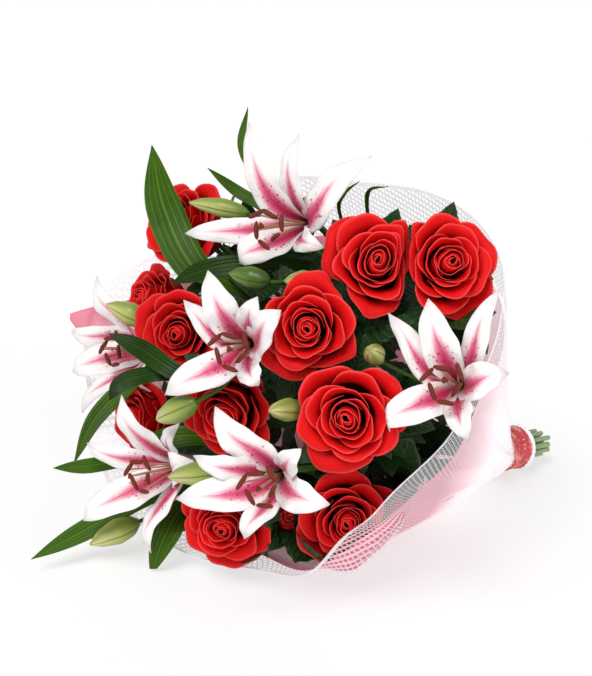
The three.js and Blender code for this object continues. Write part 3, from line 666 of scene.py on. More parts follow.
def welded(piece, distance=1e-6):
    """Merges the seams and collapsed ends, so that the piece closes on itself."""
    pick(piece)
    bpy.ops.object.mode_set(mode="EDIT")
    bpy.ops.mesh.select_all(action="SELECT")
    bpy.ops.mesh.remove_doubles(threshold=distance)
    bpy.ops.mesh.normals_make_consistent(inside=False)
    bpy.ops.object.mode_set(mode="OBJECT")
    return piece


def tube(name, points, radii, sides):
    """A round bar through points, closed at both ends, whose map runs round it and along it."""
    points = np.asarray(points, dtype=float)
    along = unit(np.gradient(points, axis=0))
    radii = np.concatenate([[0.0], np.broadcast_to(radii, (len(points),)), [0.0]])
    points, along = (np.concatenate([rows[:1], rows, rows[-1:]]) for rows in (points, along))
    rows = len(points) - 1
    side = unit(np.cross(along[0], UP if abs(along[0][2]) < 0.9 else RIGHT))
    sides_of = []
    for direction in along:
        side = unit(side - direction * (side @ direction))
        sides_of.append(side)
    sides_of = np.array(sides_of)
    other = np.cross(along, sides_of)

    def rule(u, v):
        row = np.rint(v * rows).astype(int)
        angle = u * math.tau
        out = sides_of[row] * np.cos(angle)[:, None] + other[row] * np.sin(angle)[:, None]
        return points[row] + out * radii[row][:, None]

    return welded(shaped(name, sides, rows, rule))


def rounded(pieces, name):
    """Several pieces made one and shaded smooth."""
    whole = joined(pieces, name)
    bpy.ops.object.shade_smooth()
    return whole


def plain_finish(name, low, high, roughness, scale, bump):
    made = Finish(name, Roughness=roughness, Specular_IOR_Level=0.2)
    made.shows("Base Color", made.mix(made.noise(scale, 4.0), low, high))
    made.bump(made.noise(scale * 4, 2.0), bump, 0.6)
    return made.material


def aside(turn):
    """Unit direction square to the way a flower faces, at a turn round it."""
    angle = math.radians(turn)
    return np.array([math.cos(angle), math.sin(angle), 0])


def round_ended(part, power):
    """A bar's radius as a part of its widest, from one end at -1 to the other at 1."""
    return np.sqrt(np.maximum(0.02, 1 - np.abs(part) ** power))


def stamen_parts(number, lily):
    place = lily_place(lily)
    filaments, anthers = [], []
    for k in range(6):
        around = aside(60 * k + STAMEN_TURN + LILY_TURN * number)
        spread = STAMEN_SPREADS[k % 2]
        tip = around * spread + UP * STAMEN_TIP
        curve = [around * 0.8 + UP * STAMEN_ROOT, around * spread * 0.35 + UP * STAMEN_BOW, tip]
        line, _ = bezier(curve, np.linspace(0, 1, 9))
        filaments.append(tube(f"filament_{k}", place.out(line * MM), FILAMENT_RADIUS * MM, 8))
        lean = math.radians(ANTHER["lean"] * (k % 3))
        flat = np.cross(UP, around) * math.cos(lean) + UP * math.sin(lean) * 0.8 + around * 0.25
        part = np.linspace(-1, 1, 11)
        line = tip + np.outer(part, unit(flat)) * ANTHER["half"]
        line = line + np.outer(part**2, 0.3 * around - UP) * ANTHER["bend"]
        radii = ANTHER["radius"] * round_ended(part, 3)
        anthers.append(tube(f"anther_{k}", place.out(line * MM), radii * MM, 10))
    line, _ = bezier([(0, 0, STAMEN_ROOT), (0.5, 0, STAMEN_BOW), STYLE_TIP], np.linspace(0, 1, 9))
    filaments.append(tube("style", place.out(line * MM), STYLE_RADIUS * MM, 10))
    part = np.linspace(-1, 1, 7)
    for k in range(3):
        lobe = STYLE_TIP + LOBE["out"] * (aside(120 * k) + 0.5 * UP)
        line = lobe + np.outer(part, UP) * LOBE["half"]
        radii = LOBE["radius"] * round_ended(part, 2)
        anthers.append(tube(f"lobe_{k}", place.out(line * MM), radii * MM, 8))
    return filaments, anthers


FILAMENT_GREEN = plain_finish("filament_green", (0.42, 0.34, 0.18), (0.55, 0.2, 0.2), 0.45, 120.0, 0.0001)
ANTHER_BROWN = plain_finish("anther_brown", (0.10, 0.012, 0.006), (0.2, 0.035, 0.015), 0.6, 500.0, 0.0002)
for number, lily in enumerate(LILIES):
    filaments, anthers = stamen_parts(number, lily)
    coloured(FILAMENT_GREEN, *filaments)
    coloured(ANTHER_BROWN, *anthers)
    stamens = rounded(filaments + anthers, f"lily_anthers_{number + 1}")
    seat(stamens, f"lily_stamens_{number + 1}", slot="lily_stamens")

# Stems
# Green stems, cut square, that run side by side through the tie and then spread to their
# flowers. A rose has a swollen hip under its petals, with five pointed sepals bent back.
SLOT_RINGS = (0, 5.5, 10.2)  # a stem's slot in the tie is one of these rings and a turn
STRAIGHT = 16  # how far a stem runs straight on both sides of the tie
BOW, NECK_BOW = 70, 36  # how gently it bends out from there, and in under its flower
ROSE_STEM_RADIUS = 2.1
HIP = dict(radius=6, foot=2.6, length=8)
SEPAL = dict(reach=19, drop=13, half=3.4)
SEPAL_THICKNESS = 0.5 * MM
SEAT_GAP = 0.3  # between a stem's end and its flower


def tail_length(number):
    return 30 + (number * 5) % 9


def slot_place(slot, along):
    ring, turn = slot
    return TIE + (across(TIE_AXIS, turn) * SLOT_RINGS[ring] + TIE_AXIS * along) * MM


def stem_line(slot, base, faces):
    tied = [slot_place(slot, STRAIGHT), slot_place(slot, STRAIGHT + BOW)]
    return [*tied, base - faces * NECK_BOW * MM, base]


def stem_points(slot, line, tail):
    points, _ = bezier(line, np.linspace(0, 1, 28))
    return np.concatenate([[slot_place(slot, -tail), slot_place(slot, -STRAIGHT)], points])


def blade_along(name, line, face, half, width_rule, lift_rule, columns=8, rows=22, clearance=None):
    """A thin blade on a line: half its width in millimetres, shaped and lifted by rules."""
    step = 1e-3

    def rule(u, v):
        x = 2 * u - 1
        point, ahead, behind = line(v), line(np.minimum(v + step, 1)), line(np.maximum(v - step, 0))
        along = unit(ahead - behind)
        side = unit(np.cross(along, face))
        wide, high = x * half * width_rule(v) * MM, lift_rule(x, v) * MM
        moved = point + side * wide[:, None] + np.cross(side, along) * high[:, None]
        return moved if clearance is None else off_roses(moved, clearance)

    return shaped(name, columns, rows, rule)


def green_finish(name, dark, light, roughness, count=0.0, cut_end=None):
    """Leaf green with a count of veins across it, or plain green with a pale cut end."""
    green = Finish(name, Roughness=roughness, Specular_IOR_Level=0.12, Subsurface_Weight=0.05,
                   Subsurface_Radius=(0.001, 0.002, 0.0005))
    u, v = green.uv()
    colour = green.mix(green.noise(38.0, 4.0), dark, light)
    if count:
        lines = veins(green, u, v, count, 0.25)
        side = green.from_midrib(u)
        pale = tuple(min(1.0, 2.2 * c) for c in light)
        colour = green.laid_over(colour, green.ramp(lines, (0.93, 0.0), (1.0, 1.0)), 0.45, pale)
        colour = green.laid_over(colour, green.ramp(side, (0.0, 1.0), (0.07, 0.0)), 0.45, pale)
        colour = green.laid_over(colour, green.ramp(side, (0.93, 0.0), (0.99, 1.0)), 0.3, pale)
        green.bump(lines, 0.0004, 0.5)
    else:
        green.bump(green.noise(260.0), 0.0002, 0.4)
    if cut_end:
        colour = green.mix(green.ramp(v, (0.03, 1.0), (0.1, 0.0)), colour, cut_end)
    green.shows("Base Color", colour)
    return green.material


STEM_GREEN = green_finish("stem_green", (0.02, 0.07, 0.008), (0.07, 0.15, 0.025), 0.45,
                          cut_end=(0.42, 0.52, 0.3))
SEPAL_GREEN = green_finish("sepal_green", (0.02, 0.07, 0.01), (0.07, 0.16, 0.03), 0.55, 9.0)


def hip_and_sepals(number, base, faces):
    place = Place(base, faces, number * 31)
    part = np.linspace(0, 1, 9)
    bulge = HIP["foot"] + (HIP["radius"] - HIP["foot"]) * np.sin(part * math.pi / 2)
    line = np.outer(-HIP["length"] * (1 - part), UP)
    hip = tube("hip", place.out(line * MM), bulge * MM, 14)
    sepals = []
    for k in range(5):
        out = aside(72 * k)
        curve = [out * 3.5 - UP * 0.6, out * SEPAL["reach"] * 0.62 - UP * 0.8,
                 out * SEPAL["reach"] - UP * SEPAL["drop"]]
        sepals.append(blade_along(
            f"sepal_{k}", lambda v: place.out(bezier(curve, v)[0] * MM), faces, SEPAL["half"],
            lambda v: np.maximum(0.03, (1 - v) ** 0.8 * (0.8 + 0.5 * v)),
            lambda x, v: 0.8 * x**2 * (1 - v), columns=4, rows=10))
    return hip, joined(sepals, "sepals")


for number, rose in enumerate(ROSES):
    faces = heading(*rose["faces"])
    base = rose_middle(rose) - faces * (rose["radius"] * ROSE_BACK + SEAT_GAP) * MM
    foot = base + faces * (1 - HIP["length"]) * MM
    points = stem_points(rose["slot"], stem_line(rose["slot"], foot, faces), tail_length(number))
    stem = tube("stem", points, ROSE_STEM_RADIUS * MM, 12)
    hip, star = hip_and_sepals(number, base, faces)
    coloured(STEM_GREEN, stem)
    coloured(SEPAL_GREEN, hip, star)
    walled(star, SEPAL_THICKNESS)
    whole = rounded([stem, hip, star], f"rose_stalk_{number + 1}")
    seat(whole, f"rose_stem_{number + 1}", slot="rose_greens")

# Lily stems, buds and leaves
# Each lily stem carries its bloom, closed buds on short stalks, and long glossy leaves with fine
# veins that run their whole length.
BUDS = table(
    "lily fork base tip radius young",
    (0, 0.62, (22.5, 130, 339), (24.5, 144, 372), 8),
    (0, 0.7, (9.5, 90, 348), (9.5, 119, 363), 9, True),
    (0, 0.66, (13, 74, 327), (10.5, 80, 347), 8.5),
    (1, 0.66, (11, 343, 332), (11, 339, 367), 9),
    (2, 0.68, (18, 21, 322), (19, 21, 352), 8),
    (3, 0.7, (14, 292, 355), (17, 259, 363), 9.5),
    (1, 0.72, (6.5, 272, 371), (13, 237, 366), 10),
    (4, 0.66, (32, 240, 346), (33, 242, 388), 11),
    (5, 0.75, (22.5, 184, 349), (25.5, 183, 383), 10),
)
BUD_PARTS = (0, 0.15, 0.45, 0.8, 1)
BUD_RADII = (0.3, 0.8, 1, 0.6, 0.08)  # at these parts of its length
BUD_SAG = 0.02
BUD_PINCH = 0.09  # at the three seams where the outer tepals meet
BUD_STALK = dict(radius=1.5, clear=5, leaves=30, nears=22, enters=3)
LILY_STEM_RADIUS = 2.5
RECEPTACLE = dict(height=5, foot=3, rim=5.2, rings=6)
# Leaves marked in the last column take a darker copy of the leaf green: painted shade for leaves that lie
# in shadow.
LEAVES = table(
    "lily fork by over tip half deep",
    (0, 0.5, (18, 158, 332), (25, 151, 381), (29, 143, 417), 15),
    (0, 0.72, (12, 112, 346), (11, 138, 368), (13, 160, 373), 8, True),
    (0, 0.55, (27, 132, 322), (29, 137, 343), (30, 139, 371), 5),
    (0, 0.6, (27, 126, 341), (30.5, 128, 368), (35, 126, 384), 4),
    (0, 0.5, (24, 98, 315), (25, 93, 330), (26.5, 87, 340), 1.6),
    (0, 0.45, (26, 90, 310), (27, 87, 326), (28, 79, 336), 1.6),
    (5, 0.5, (11, 211, 342), (16, 196, 366), (24, 191, 377), 8, True),
    (5, 0.45, (14, 207, 352), (20, 208, 368), (25, 210, 366), 7, True),
    (5, 0.6, (24, 199, 332), (27, 213, 371), (29, 225, 391), 7.5),
    (4, 0.55, (16, 236, 318), (18.5, 232, 340), (25, 225, 347), 8.5),
    (4, 0.5, (29, 236, 330), (32.5, 239, 391), (34, 241, 434), 8.5),
    (4, 0.58, (27, 227, 350), (28, 227, 385), (29, 226, 408), 6),
    (4, 0.5, (27.5, 245, 316), (29, 251, 339), (35, 252, 351), 11),
)
LEAF_WIDEST = 0.6  # at this part of its length
LEAF_KEEL = 1.4
LEAF_TWIST = 0.5
LEAF_CLEAR = 3.6
LEAF_FACES = heading(50, 30)
LEAF_THICKNESS = 0.45 * MM


def catmull_rom(points, t):
    """A smooth line through a few points."""
    points = np.asarray(points, dtype=float)
    ends = np.concatenate([[2 * points[0] - points[1]], points, [2 * points[-1] - points[-2]]])
    place = np.clip(np.asarray(t) * (len(points) - 1), 0, len(points) - 1 - 1e-9)
    k = place.astype(int)
    w = (place - k)[:, None]
    near = [ends[k + shift] for shift in range(4)]
    p0, p1, p2, p3 = near
    d0, d1, d2 = (np.sqrt(np.linalg.norm(b - a, axis=1, keepdims=True)) for a, b in zip(near, near[1:]))
    m1 = ((p1 - p0) / d0 - (p2 - p0) / (d0 + d1) + (p2 - p1) / d1) * d1
    m2 = ((p2 - p1) / d1 - (p3 - p1) / (d1 + d2) + (p3 - p2) / d2) * d1
    return p1 + m1 * w + (3 * (p2 - p1) - 2 * m1 - m2) * w**2 + (2 * (p1 - p2) + m1 + m2) * w**3


def bud_finish(name, foot, middle, tip):
    skin = Finish(name, Roughness=0.38, Specular_IOR_Level=0.45, Subsurface_Weight=0.1,
                  Subsurface_Radius=(0.002, 0.003, 0.001))
    u, v = skin.uv()
    third = skin.math("FRACT", skin.math("MULTIPLY", u, 3.0))
    from_seam = skin.math("ABSOLUTE", skin.math("SUBTRACT", third, 0.5))
    seam = skin.ramp(from_seam, (0.0, 1.0), (0.05, 0.0))
    ridge = skin.ramp(from_seam, (0.16, 0.0), (0.42, 1.0))
    base = skin.ramp(v, (0.05, foot), (0.45, middle), (0.9, tip), (1.0, (0.3, 0.22, 0.06)))
    base = skin.laid_over(base, ridge, 0.65, foot)
    base = skin.laid_over(base, veins(skin, u, v, 40.0, 1.0), 0.18, (0.12, 0.22, 0.05))
    skin.shows("Base Color", skin.laid_over(base, seam, 0.8, (0.05, 0.08, 0.02)))
    skin.bump(skin.math("SUBTRACT", 1.0, seam), 0.0006, 0.7)
    return skin.material


def bud_body(name, bud):
    part = np.linspace(0, 1, 22)
    size = np.interp(part, BUD_PARTS, BUD_RADII)
    size = 0.25 * np.roll(size, 1) + 0.5 * size + 0.25 * np.roll(size, -1)
    size[0], size[-1] = BUD_RADII[0], BUD_RADII[-1]
    foot, end = spot(*bud["base"]), spot(*bud["tip"])
    sag = unit(np.cross(end - foot, RIGHT)) * BUD_SAG * np.linalg.norm(end - foot)
    line = foot + np.outer(part, end - foot) + np.outer(np.sin(math.pi * part), sag)
    body = tube(name, line, size * bud["radius"] * MM, 24)
    points = points_of(body.data)
    axis = unit(end - foot)
    inward = points - foot
    inward = inward - np.outer(inward @ axis, axis)
    side = unit(np.cross(axis, UP))
    angle = np.arctan2(inward @ np.cross(side, axis), inward @ side)
    pinch = BUD_PINCH * np.exp(-((np.mod(3 * angle / math.tau, 1) - 0.5) / 0.16) ** 2)
    move_points(body.data, points - inward * pinch[:, None])
    return body


def bud_stalk(name, bud, line):
    start, along = bezier(line, bud["fork"])
    foot, end = spot(*bud["base"]), spot(*bud["tip"])
    way = unit(end - foot)
    curve = [start, start + along * BUD_STALK["leaves"] * MM, foot - way * BUD_STALK["nears"] * MM,
             foot + way * BUD_STALK["enters"] * MM]
    points = bezier(curve, np.linspace(0, 1, 14))[0]
    return tube(name, off_roses(points, BUD_STALK["clear"]), BUD_STALK["radius"] * MM, 10)


def leaf_width(v):
    near = 0.12 + 0.88 * np.sin(math.pi / 2 * v / LEAF_WIDEST)
    past = np.abs(v - LEAF_WIDEST) / (1 - LEAF_WIDEST)
    return np.where(v < LEAF_WIDEST, near, np.maximum(0.015, 1 - past**1.8))


def leaf_blade(name, leaf, stem):
    points = [bezier(stem, leaf["fork"])[0]] + [spot(*leaf[part]) for part in ("by", "over", "tip")]

    def lift(x, v):
        return LEAF_KEEL * np.abs(x) * leaf_width(v) + LEAF_TWIST * x * np.sin(9 * v)

    return blade_along(name, lambda v: catmull_rom(points, v), LEAF_FACES, leaf["half"], leaf_width, lift,
                       columns=10, rows=30, clearance=LEAF_CLEAR)


def lily_stalk(number, lily, line, buds):
    """A lily's stem with the cup that its tepals stand on and the stalks of its buds."""
    points = stem_points(lily["slot"], line, tail_length(number + 4))
    depth = FUNNEL["depth"]
    cup = np.outer(np.linspace(-depth - 3, -depth + 2, RECEPTACLE["rings"]), UP)
    radii = np.linspace(RECEPTACLE["foot"], RECEPTACLE["rim"], RECEPTACLE["rings"])
    greens = [tube("stem", points, LILY_STEM_RADIUS * MM, 14),
              tube("receptacle", lily_place(lily).out(cup * MM), radii * MM, 14)]
    greens += [bud_stalk(f"stalk_{k}", bud, line) for k, bud in enumerate(buds)]
    coloured(STEM_GREEN, *greens)
    return rounded(greens, f"lily_stalk_{number + 1}")


RIPE_SKIN = bud_finish("ripe_bud_skin", (0.12, 0.20, 0.02), (0.43, 0.46, 0.10), (0.66, 0.60, 0.25))
YOUNG_SKIN = bud_finish("young_bud_skin", (0.025, 0.07, 0.006), (0.085, 0.16, 0.012), (0.2, 0.28, 0.04))
LEAF_GREEN = green_finish("leaf_green", (0.010, 0.04, 0.002), (0.06, 0.135, 0.005), 0.38, 6.0)
# A darker copy of the leaf green, as painted shade.
SHADED_LEAF_GREEN = green_finish("shaded_leaf_green", (0.004, 0.018, 0.001), (0.02, 0.055, 0.004), 0.38, 6.0)
for number, lily in enumerate(LILIES):
    faces = heading(*lily["faces"])
    foot = lily_mouth(lily) + faces * (2 - FUNNEL["depth"] - RECEPTACLE["height"] - SEAT_GAP) * MM
    line = stem_line(lily["slot"], foot, faces)
    own_buds, own_leaves = ([row for row in rows if row["lily"] == number] for rows in (BUDS, LEAVES))
    stalk = lily_stalk(number, lily, line, own_buds)
    seat(stalk, f"lily_stem_{number + 1}", slot="lily_greens")
    if own_buds:
        bodies = [bud_body(f"bud_{k}", bud) for k, bud in enumerate(own_buds)]
        for body, bud in zip(bodies, own_buds):
            coloured(YOUNG_SKIN if bud.get("young") else RIPE_SKIN, body)
        seat(rounded(bodies, f"lily_buds_{number + 1}"), slot="lily_greens")
    if own_leaves:
        blades = [leaf_blade(f"leaf_{k}", leaf, line) for k, leaf in enumerate(own_leaves)]
        for blade, leaf in zip(blades, own_leaves):
            # Leaves that lie in shadow get the darker green, as painted shade.
            coloured(SHADED_LEAF_GREEN if leaf.get("deep") else LEAF_GREEN, blade)
        leaves = joined(blades, f"lily_leaves_{number + 1}")
        walled(leaves, LEAF_THICKNESS)
        seat(leaves, slot="lily_greens")

# Wrap
# A pink sheet inside a white net, both gathered round the stems under the ribbon and open round
# the flowers. The net stands a little past the pink, and both lie flat on the surface below.
RIM = np.array([  # degrees off the bunch's axis and millimetres from the tie, every 15 degrees round
    (28, 290), (29.5, 288), (33, 298), (35, 298), (36, 297), (35, 297), (33, 297), (33, 297),
    (34, 306), (36, 320), (37, 322), (38, 340), (37, 385), (38, 382), (37, 362), (35, 360),
    (33.5, 341), (32, 320), (30.5, 304), (29.5, 297), (29.5, 305), (26, 307), (26, 317), (27.5, 343),
])
NECK = dict(radius=15.4, flare=3, tuck=4, half=11, opens=18, spread=6)
BELLY = 7  # how far the sides bulge out
SAG = 16  # how much more they bulge below
SHEET_SPACE = 1.6
WRAP_COLUMNS = 288
WRAP_ROWS = 60
GATHER_ROWS = 12
GATHERED = GATHER_ROWS / WRAP_ROWS
DRAPE_STEPS = 40
SEAM = 270  # turn at which each sheet's two side edges meet, under the bunch

# Each sheet lies inside or outside the middle of the two, keeps off the surface and the flowers,
# and ends at a part of the rim's reach, every 15 degrees round.
NET = dict(layer=1, lowest=0.3, clear=5.3, thickness=0.3, ends=np.ones(24))
PINK = dict(layer=-1, lowest=1.4, clear=3.5, thickness=0.25, ends=np.array([
    0.86, 0.91, 0.88, 0.85, 0.84, 0.84, 0.84, 0.84, 0.84, 0.86, 0.89, 0.92,
    0.92, 0.9, 0.9, 0.92, 0.9, 0.9, 0.93, 0.97, 0.97, 0.93, 0.87, 0.84]))
PINK_CORNER = dict(turn=188, rise=9, fall=16, out=0.12)  # the one corner that stands past the net
FLAT_SHARE = 0.42  # angle of the flat sheet's fan for each degree round the wrap
FLAT_START, FLAT_LENGTH = 0.03, 0.34  # the fan runs from this radius for this length, in metres
THREAD_SPACES = (0.0044, 0.0030)  # in metres
THREAD_SLANT = 22  # the net's threads run straight across its flat cut and so slant round the wrap
# The pink sheet is painted pale, as if washed out by light, this way and towards its gathered end:
# painted light.
WASHED_OUT_SIDE = (0.64, 0.77, 0)  # the pink sheet pales this way, and towards its gathered end


def round_table(table, turn):
    """Smooth rows at a turn from a table that goes once round."""
    place = (turn * len(table) / 360) % len(table)
    k = np.minimum(place.astype(int), len(table) - 1)
    w = (place - k)[:, None]
    p0, p1, p2, p3 = (table[(k + shift) % len(table)] for shift in (-1, 0, 1, 2))
    bend, twist = 2 * p0 - 5 * p1 + 4 * p2 - p3, 3 * p1 - p0 - 3 * p2 + p3
    return 0.5 * (2 * p1 + (p2 - p0) * w + bend * w**2 + twist * w**3)


def wrap_surface(turn, v, end):
    """Middle of the two sheets at a turn: v runs from the gathered ends to the rim."""
    off, reach = round_table(RIM, turn).T
    out = across(TIE_AXIS, turn)

    def neck(along, radius):
        return RIBBON_MIDDLE + (TIE_AXIS * along + out * radius) * MM

    outward = across(BUNCH_AXIS, turn)
    off = np.radians(off)[:, None]
    rim = TIE + (np.cos(off) * BUNCH_AXIS + np.sin(off) * outward) * (reach * MM)[:, None]
    start = neck(NECK["half"], NECK["radius"])
    opening = neck(NECK["half"] + NECK["opens"], NECK["radius"] + NECK["spread"])
    bulge = (BELLY + SAG * np.maximum(0, -np.sin(np.radians(turn))) ** 4) * MM
    belly = (start + rim) / 2 + outward * bulge[:, None]
    t = (np.clip((v - GATHERED) / (1 - GATHERED), 0, 1) * end)[:, None]
    side = (1 - t) ** 3 * start + 3 * (1 - t) ** 2 * t * opening + 3 * (1 - t) * t**2 * belly + t**3 * rim
    g = 2 * np.clip(v / GATHERED, 0, 1)[:, None]
    tail = neck(-NECK["half"] - NECK["tuck"], NECK["radius"] + NECK["flare"])
    low = neck(-NECK["half"], NECK["radius"])
    gather = np.where(g < 1, tail + (low - tail) * g, low + (start - low) * np.clip(g - 1, 0, 1))
    return np.where(v[:, None] < GATHERED, gather, side)


def sheet_folds(turn, v):
    """Height of the folds that run out from the tie, in millimetres: tight pleats, then soft waves."""
    a = np.radians(turn)
    opened = smooth(GATHERED, 0.62, v)
    pleats = (1 - opened) * (0.7 * np.sin(26 * a + 0.8 * np.sin(3 * a)) + 0.35 * np.sin(41 * a + 1.0))
    risen = smooth(GATHERED, 0.42, v) * (1 - 0.75 * smooth(0.5, 1, v))
    folds = 2.8 * risen * (np.sin(11 * a + 0.9 + 1.6 * v) + 0.6 * np.sin(19 * a - 2.0 * v + 0.4))
    waves = 1.5 * smooth(0.75, 1, v) * (np.sin(9 * a + 0.4) + 0.5 * np.sin(14 * a + 2.0))
    return pleats + folds + waves


def draped(points, u, v, sheet, firm):
    """Lets a sheet hang evenly between the flowers and the surface below, but where it is firm."""
    row, column = np.rint(v * WRAP_ROWS).astype(int), np.rint(u * WRAP_COLUMNS).astype(int) % WRAP_COLUMNS
    cloth = np.empty((WRAP_ROWS + 1, WRAP_COLUMNS, 3))
    cloth[row, column] = points
    free = 0.5 * smooth(GATHERED, 0.6, np.linspace(0, 1, WRAP_ROWS + 1))[:, None, None]
    free = free * (1 - firm(SEAM + np.arange(WRAP_COLUMNS) * 360 / WRAP_COLUMNS))[:, None]
    hung = slice(GATHER_ROWS + 1, None)
    for _ in range(DRAPE_STEPS):
        beside = (np.roll(cloth, 1, axis=1) + np.roll(cloth, -1, axis=1)) / 2
        even = beside.copy()
        even[1:-1] = (beside[1:-1] + (cloth[2:] + cloth[:-2]) / 2) / 2
        cloth = cloth + (even - cloth) * free
        cloth[hung] = off_roses(cloth[hung], sheet["clear"], sheet["lowest"])
    return cloth[row, column]


def corner(turn):
    """1 at the pink sheet's corner, from where it falls off to 0 on both sides."""
    past = turn % 360 - PINK_CORNER["turn"]
    return np.maximum(0, 1 - np.where(past < 0, -past / PINK_CORNER["rise"], past / PINK_CORNER["fall"]))


def lay_flat(mesh):
    """Lays a sheet's map out as the fan that its flat cut makes, in metres."""
    flat = mesh.uv_layers.active.data
    uv = np.empty(len(flat) * 2)
    flat.foreach_get("uv", uv)
    fan = (uv[0::2] - 0.5) * math.tau * FLAT_SHARE
    radius = FLAT_START + FLAT_LENGTH * uv[1::2]
    flat.foreach_set("uv", np.stack([radius * np.sin(fan), radius * np.cos(fan)], axis=1).ravel())


def wrap_sheet(name, node, sheet, material):
    cornered = corner if sheet is PINK else np.zeros_like
    floor = cad_box[0][2] + sheet["lowest"] * MM

    def rule(u, v):
        turn = SEAM + u * 360
        end = round_table(sheet["ends"][:, None], turn)[:, 0] + PINK_CORNER["out"] * cornered(turn)
        point = wrap_surface(turn, v, end)
        round_it = wrap_surface(turn + 0.5, v, end) - wrap_surface(turn - 0.5, v, end)
        after, before = np.minimum(v + 0.004, 1), np.maximum(v - 0.004, 0)
        out_along = wrap_surface(turn, after, end) - wrap_surface(turn, before, end)
        normal = unit(np.cross(round_it, out_along))
        normal = np.where(point[:, 2:] < floor, -UP, normal)
        lift = sheet["layer"] * SHEET_SPACE / 2 + sheet_folds(turn, v * end)
        moved = point + normal * (lift * MM)[:, None]
        return draped(moved, u, v, sheet, lambda turn: smooth(0, 0.3, cornered(turn)))

    piece = welded(shaped(name, WRAP_COLUMNS, WRAP_ROWS, rule), 1e-5)
    lay_flat(piece.data)
    coloured(material, piece)
    walled(piece, sheet["thickness"] * MM)
    seat(piece, node, slot=name)
    return piece


def along_sheet(finish):
    """0 at the gathered ends of a sheet and 1 at its rim."""
    length = finish.vector_math("LENGTH", finish.node("ShaderNodeTexCoord").outputs["UV"])
    return finish.math("DIVIDE", finish.math("SUBTRACT", length, FLAT_START), FLAT_LENGTH)


def net_finish():
    # The net glows faintly: painted light in place of light passing through its threads.
    net = Finish("white_net", Roughness=0.5, Specular_IOR_Level=0.1, Base_Color=(0.88, 0.87, 0.90, 1),
                 Emission_Color=(1, 0.97, 1, 1), Emission_Strength=0.16)
    u, v = net.uv()
    slant = math.radians(THREAD_SLANT)

    def turned(first, second, operation):
        second = net.math("MULTIPLY", second, math.sin(slant))
        return net.math(operation, net.math("MULTIPLY", first, math.cos(slant)), second)

    def thread(value, space, edge):
        across_it = net.math("FRACT", net.math("DIVIDE", value, space))
        return net.math("GREATER_THAN", net.math("ABSOLUTE", net.math("SUBTRACT", across_it, 0.5)), edge)

    threads = net.math("MAXIMUM", thread(turned(v, u, "SUBTRACT"), THREAD_SPACES[0], 0.30),
                       thread(turned(u, v, "ADD"), THREAD_SPACES[1], 0.36))
    out = along_sheet(net)
    dense = net.ramp(out, (0.35, 0.5), (0.55, 0.0))
    hem = net.math("MULTIPLY", net.math("GREATER_THAN", out, 0.993), 0.6)
    alpha = net.math("ADD", net.math("MULTIPLY_ADD", threads, 0.33, 0.01), dense)
    net.shows("Alpha", net.math("MAXIMUM", alpha, hem))
    net.bump(threads, 0.0002, 0.4)
    return net.material


def pink_finish():
    pink = Finish("pink_sheet", Roughness=0.5, Specular_IOR_Level=0.15, Emission_Strength=0.3)
    out = along_sheet(pink)
    strong = pink.mix(pink.noise(9.0), (0.87, 0.16, 0.27), (0.90, 0.26, 0.37))
    beside = pink.vector_math("DOT_PRODUCT", pink.own(), WASHED_OUT_SIDE)
    # Full pink only away from the washed-out side and the tie. Elsewhere the sheet is painted pale, as
    # painted light.
    deep_pink_share = pink.math("MULTIPLY", pink.ramp(out, (0.5, 0.0), (0.7, 1.0)),
                     pink.ramp(beside, (0.08, 1.0), (0.125, 0.0)))
    pink.shows("Base Color", pink.mix(deep_pink_share, (1.0, 0.86, 0.87), strong))
    # The sheet glows a little, most where it is pale: painted light.
    pink.shows("Emission Color", pink.mix(deep_pink_share, (1.0, 0.74, 0.78), (0.07, 0.05, 0.055)))
    pink.shows("Alpha", pink.ramp(out, (0.6, 0.95), (0.82, 0.62), (0.97, 0.5), (1.0, 0.75)))
    pink.bump(pink.noise(26.0, 4.0), 0.003, 0.35)
    return pink.material


pink = wrap_sheet("pink_wrap", "wrap_pink", PINK, pink_finish())
net = wrap_sheet("net_wrap", "wrap_net", NET, net_finish())

# Leaves inside the wrap
# The rose stems keep their own leaves, three toothed leaflets on a stalk. They fill the wrap
# under the flowers and hide the stems.
LEAF_PLACES = (0.3, 0.4, 0.5, 0.58, 0.66, 0.74, 0.81, 0.88, 0.94)
# Many of these leaves fill gaps that lie in deep shade. Their dark green is partly real foliage and
# partly stands in for that shade.
GAP_LEAVES = [  # a rose's number, a place on its stem and the place that the leaf reaches for
    (2, 0.86, (24, 29, 322)), (2, 0.8, (28.5, 34, 318)), (3, 0.84, (20.5, 33, 322)),
    (3, 0.78, (19.5, 48, 315)), (10, 0.82, (31, 248, 322)), (10, 0.7, (33, 243, 300)),
    (12, 0.88, (25, 284, 288)), (10, 0.9, (20, 288, 306)), (4, 0.74, (14, 322, 306)),
    (11, 0.7, (27, 330, 262)), (11, 0.6, (24, 345, 280)), (8, 0.8, (21, 235, 318)),
    (9, 0.84, (24, 226, 312)), (3, 0.85, (5.5, 335, 322)), (12, 0.9, (27, 293, 292)),
    (11, 0.8, (26, 304, 286)), (4, 0.85, (25, 5, 306)), (2, 0.75, (32, 30, 300)),
    (1, 0.85, (14, 113, 318)), (7, 0.8, (14, 140, 315)), (1, 0.8, (18, 92, 300)),
    (1, 0.7, (24, 108, 290)), (7, 0.75, (24, 120, 305)), (3, 0.8, (9, 90, 322)),
    (1, 0.75, (27, 76, 295)), (5, 0.85, (10, 150, 322)),
]
GAP_REACH = 1.35  # a gap leaf reaches this many times the length of its end leaflet
LEAFLET = dict(columns=6, rows=14, half=0.34, tooth=0.05, fold=0.2, droop=0.16)
LEAFLETS = ((0, 1.0), (62, 0.78), (-62, 0.78))  # turn off the stalk and size
LEAFLET_THICKNESS = 0.3 * MM
LEAF_STALK_RADIUS = 0.9
WALL_CLEAR = 8
